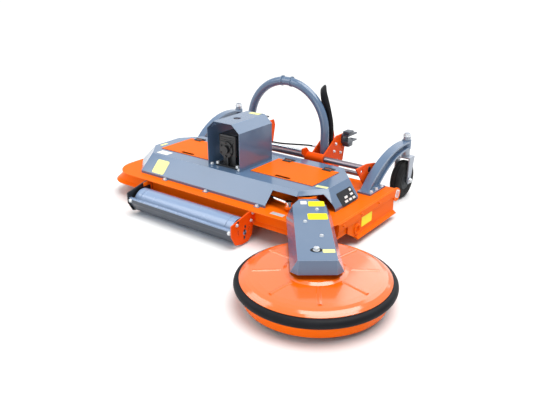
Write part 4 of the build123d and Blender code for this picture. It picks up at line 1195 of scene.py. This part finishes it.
# Floor, light and camera. The floor and the room are white where the camera sees them, the room
# lights the machine only softly, and the floor keeps its shadow
FLOOR_HALF = 45.0
SPECKLE_MM = 333.3
ROOM_COLOUR = "#F9FBFF"
ROOM_SOFT = 0.34
ROOM_SEEN = 1.0
OVERHEAD_SPREAD = math.radians(50)
OVERHEAD_POWER = 2.95
OVERHEAD_WAY = (-0.25, -0.05, -1.0)
# each softbox: name, place, what it looks at, width in metres and watts
SOFTBOXES = (
    ("left_softbox", (-2.2, -1.7, 2.7), (-0.3, -0.1, 0.3), 2.0, 34.0),
    ("rear_softbox", (0.4, 3.8, 3.0), (0, 0, 0.3), 3.2, 50.0),
    ("near_softbox", (0.7, -3.6, 1.3), (0, 0, 0.2), 2.4, 26.0),
)
# the photograph's viewpoint, solved from the deck's edges and the hitch's bars
EYE = (2.225, -2.8555, 1.60)
VIEW_AZIMUTH = math.radians(36.7)
VIEW_PITCH = math.radians(22.6)
LENS_MM = 39.6
SENSOR_MM = 36.0


def lay_floor():
    material, tree, place = new_material("pale_floor")
    speckle = add(
        tree,
        "ShaderNodeTexNoise",
        inputs={"Vector": place, "Scale": scale_of(SPECKLE_MM)},
    )
    tone = add(
        tree,
        "ShaderNodeMix",
        {"data_type": "RGBA"},
        {"Factor": speckle.outputs["Fac"], "A": srgb("#EAEAE9"), "B": srgb("#EFEFEE")},
    )
    shader = add(
        tree,
        "ShaderNodeBsdfPrincipled",
        inputs={"Base Color": tone.outputs["Result"], "Roughness": 0.85},
    )
    close_material(tree, shader)
    bm = bmesh.new()
    bmesh.ops.create_grid(bm, x_segments=1, y_segments=1, size=FLOOR_HALF)
    mesh = bpy.data.meshes.new("floor")
    bm.to_mesh(mesh)
    bm.free()
    mesh.materials.append(material)
    floor = bpy.data.objects.new("floor", mesh)
    bpy.context.scene.collection.objects.link(floor)


def light_room():
    world = bpy.data.worlds.new("pale_room")
    bpy.context.scene.world = world
    world.use_nodes = True
    tree = world.node_tree
    tree.nodes.clear()
    ray = add(tree, "ShaderNodeLightPath")
    direct = add(
        tree,
        "ShaderNodeMath",
        {"operation": "MAXIMUM"},
        {0: ray.outputs["Is Camera Ray"], 1: ray.outputs["Is Glossy Ray"]},
    )
    seen = add(
        tree,
        "ShaderNodeMath",
        {"operation": "MAXIMUM"},
        {0: direct.outputs["Value"], 1: ray.outputs["Is Transmission Ray"]},
    )
    strength = add(
        tree,
        "ShaderNodeMapRange",
        inputs={"Value": seen.outputs["Value"], "To Min": ROOM_SOFT, "To Max": ROOM_SEEN},
    )
    light = add(
        tree,
        "ShaderNodeBackground",
        inputs={"Color": srgb(ROOM_COLOUR), "Strength": strength.outputs["Result"]},
    )
    add(tree, "ShaderNodeOutputWorld", inputs={"Surface": light.outputs["Background"]})


def aimed(name, data, way):
    """A lamp or camera in the scene, looking along the given way."""
    holder = bpy.data.objects.new(name, data)
    bpy.context.scene.collection.objects.link(holder)
    holder.rotation_euler = Vector(way).to_track_quat("-Z", "Y").to_euler()
    return holder


def hang_lamps():
    """A wide overhead light, as a clouded sky gives, and three softboxes for long highlights."""
    sky = bpy.data.lights.new("overhead", "SUN")
    sky.angle = OVERHEAD_SPREAD
    sky.energy = OVERHEAD_POWER
    aimed("overhead", sky, OVERHEAD_WAY)
    for name, place, target, width, power in SOFTBOXES:
        lamp = bpy.data.lights.new(name, "AREA")
        lamp.size = width
        lamp.energy = power
        aimed(name, lamp, Vector(target) - Vector(place)).location = place


def set_camera():
    lens = bpy.data.cameras.new("photo_camera")
    lens.sensor_width = SENSOR_MM
    lens.lens = LENS_MM
    look = (
        -math.sin(VIEW_AZIMUTH) * math.cos(VIEW_PITCH),
        math.cos(VIEW_AZIMUTH) * math.cos(VIEW_PITCH),
        -math.sin(VIEW_PITCH),
    )
    camera = aimed("photo_camera", lens, look)
    camera.location = EYE
    bpy.context.scene.camera = camera
    bpy.context.scene.view_settings.view_transform = "Standard"


lay_floor()
light_room()
hang_lamps()
set_camera()
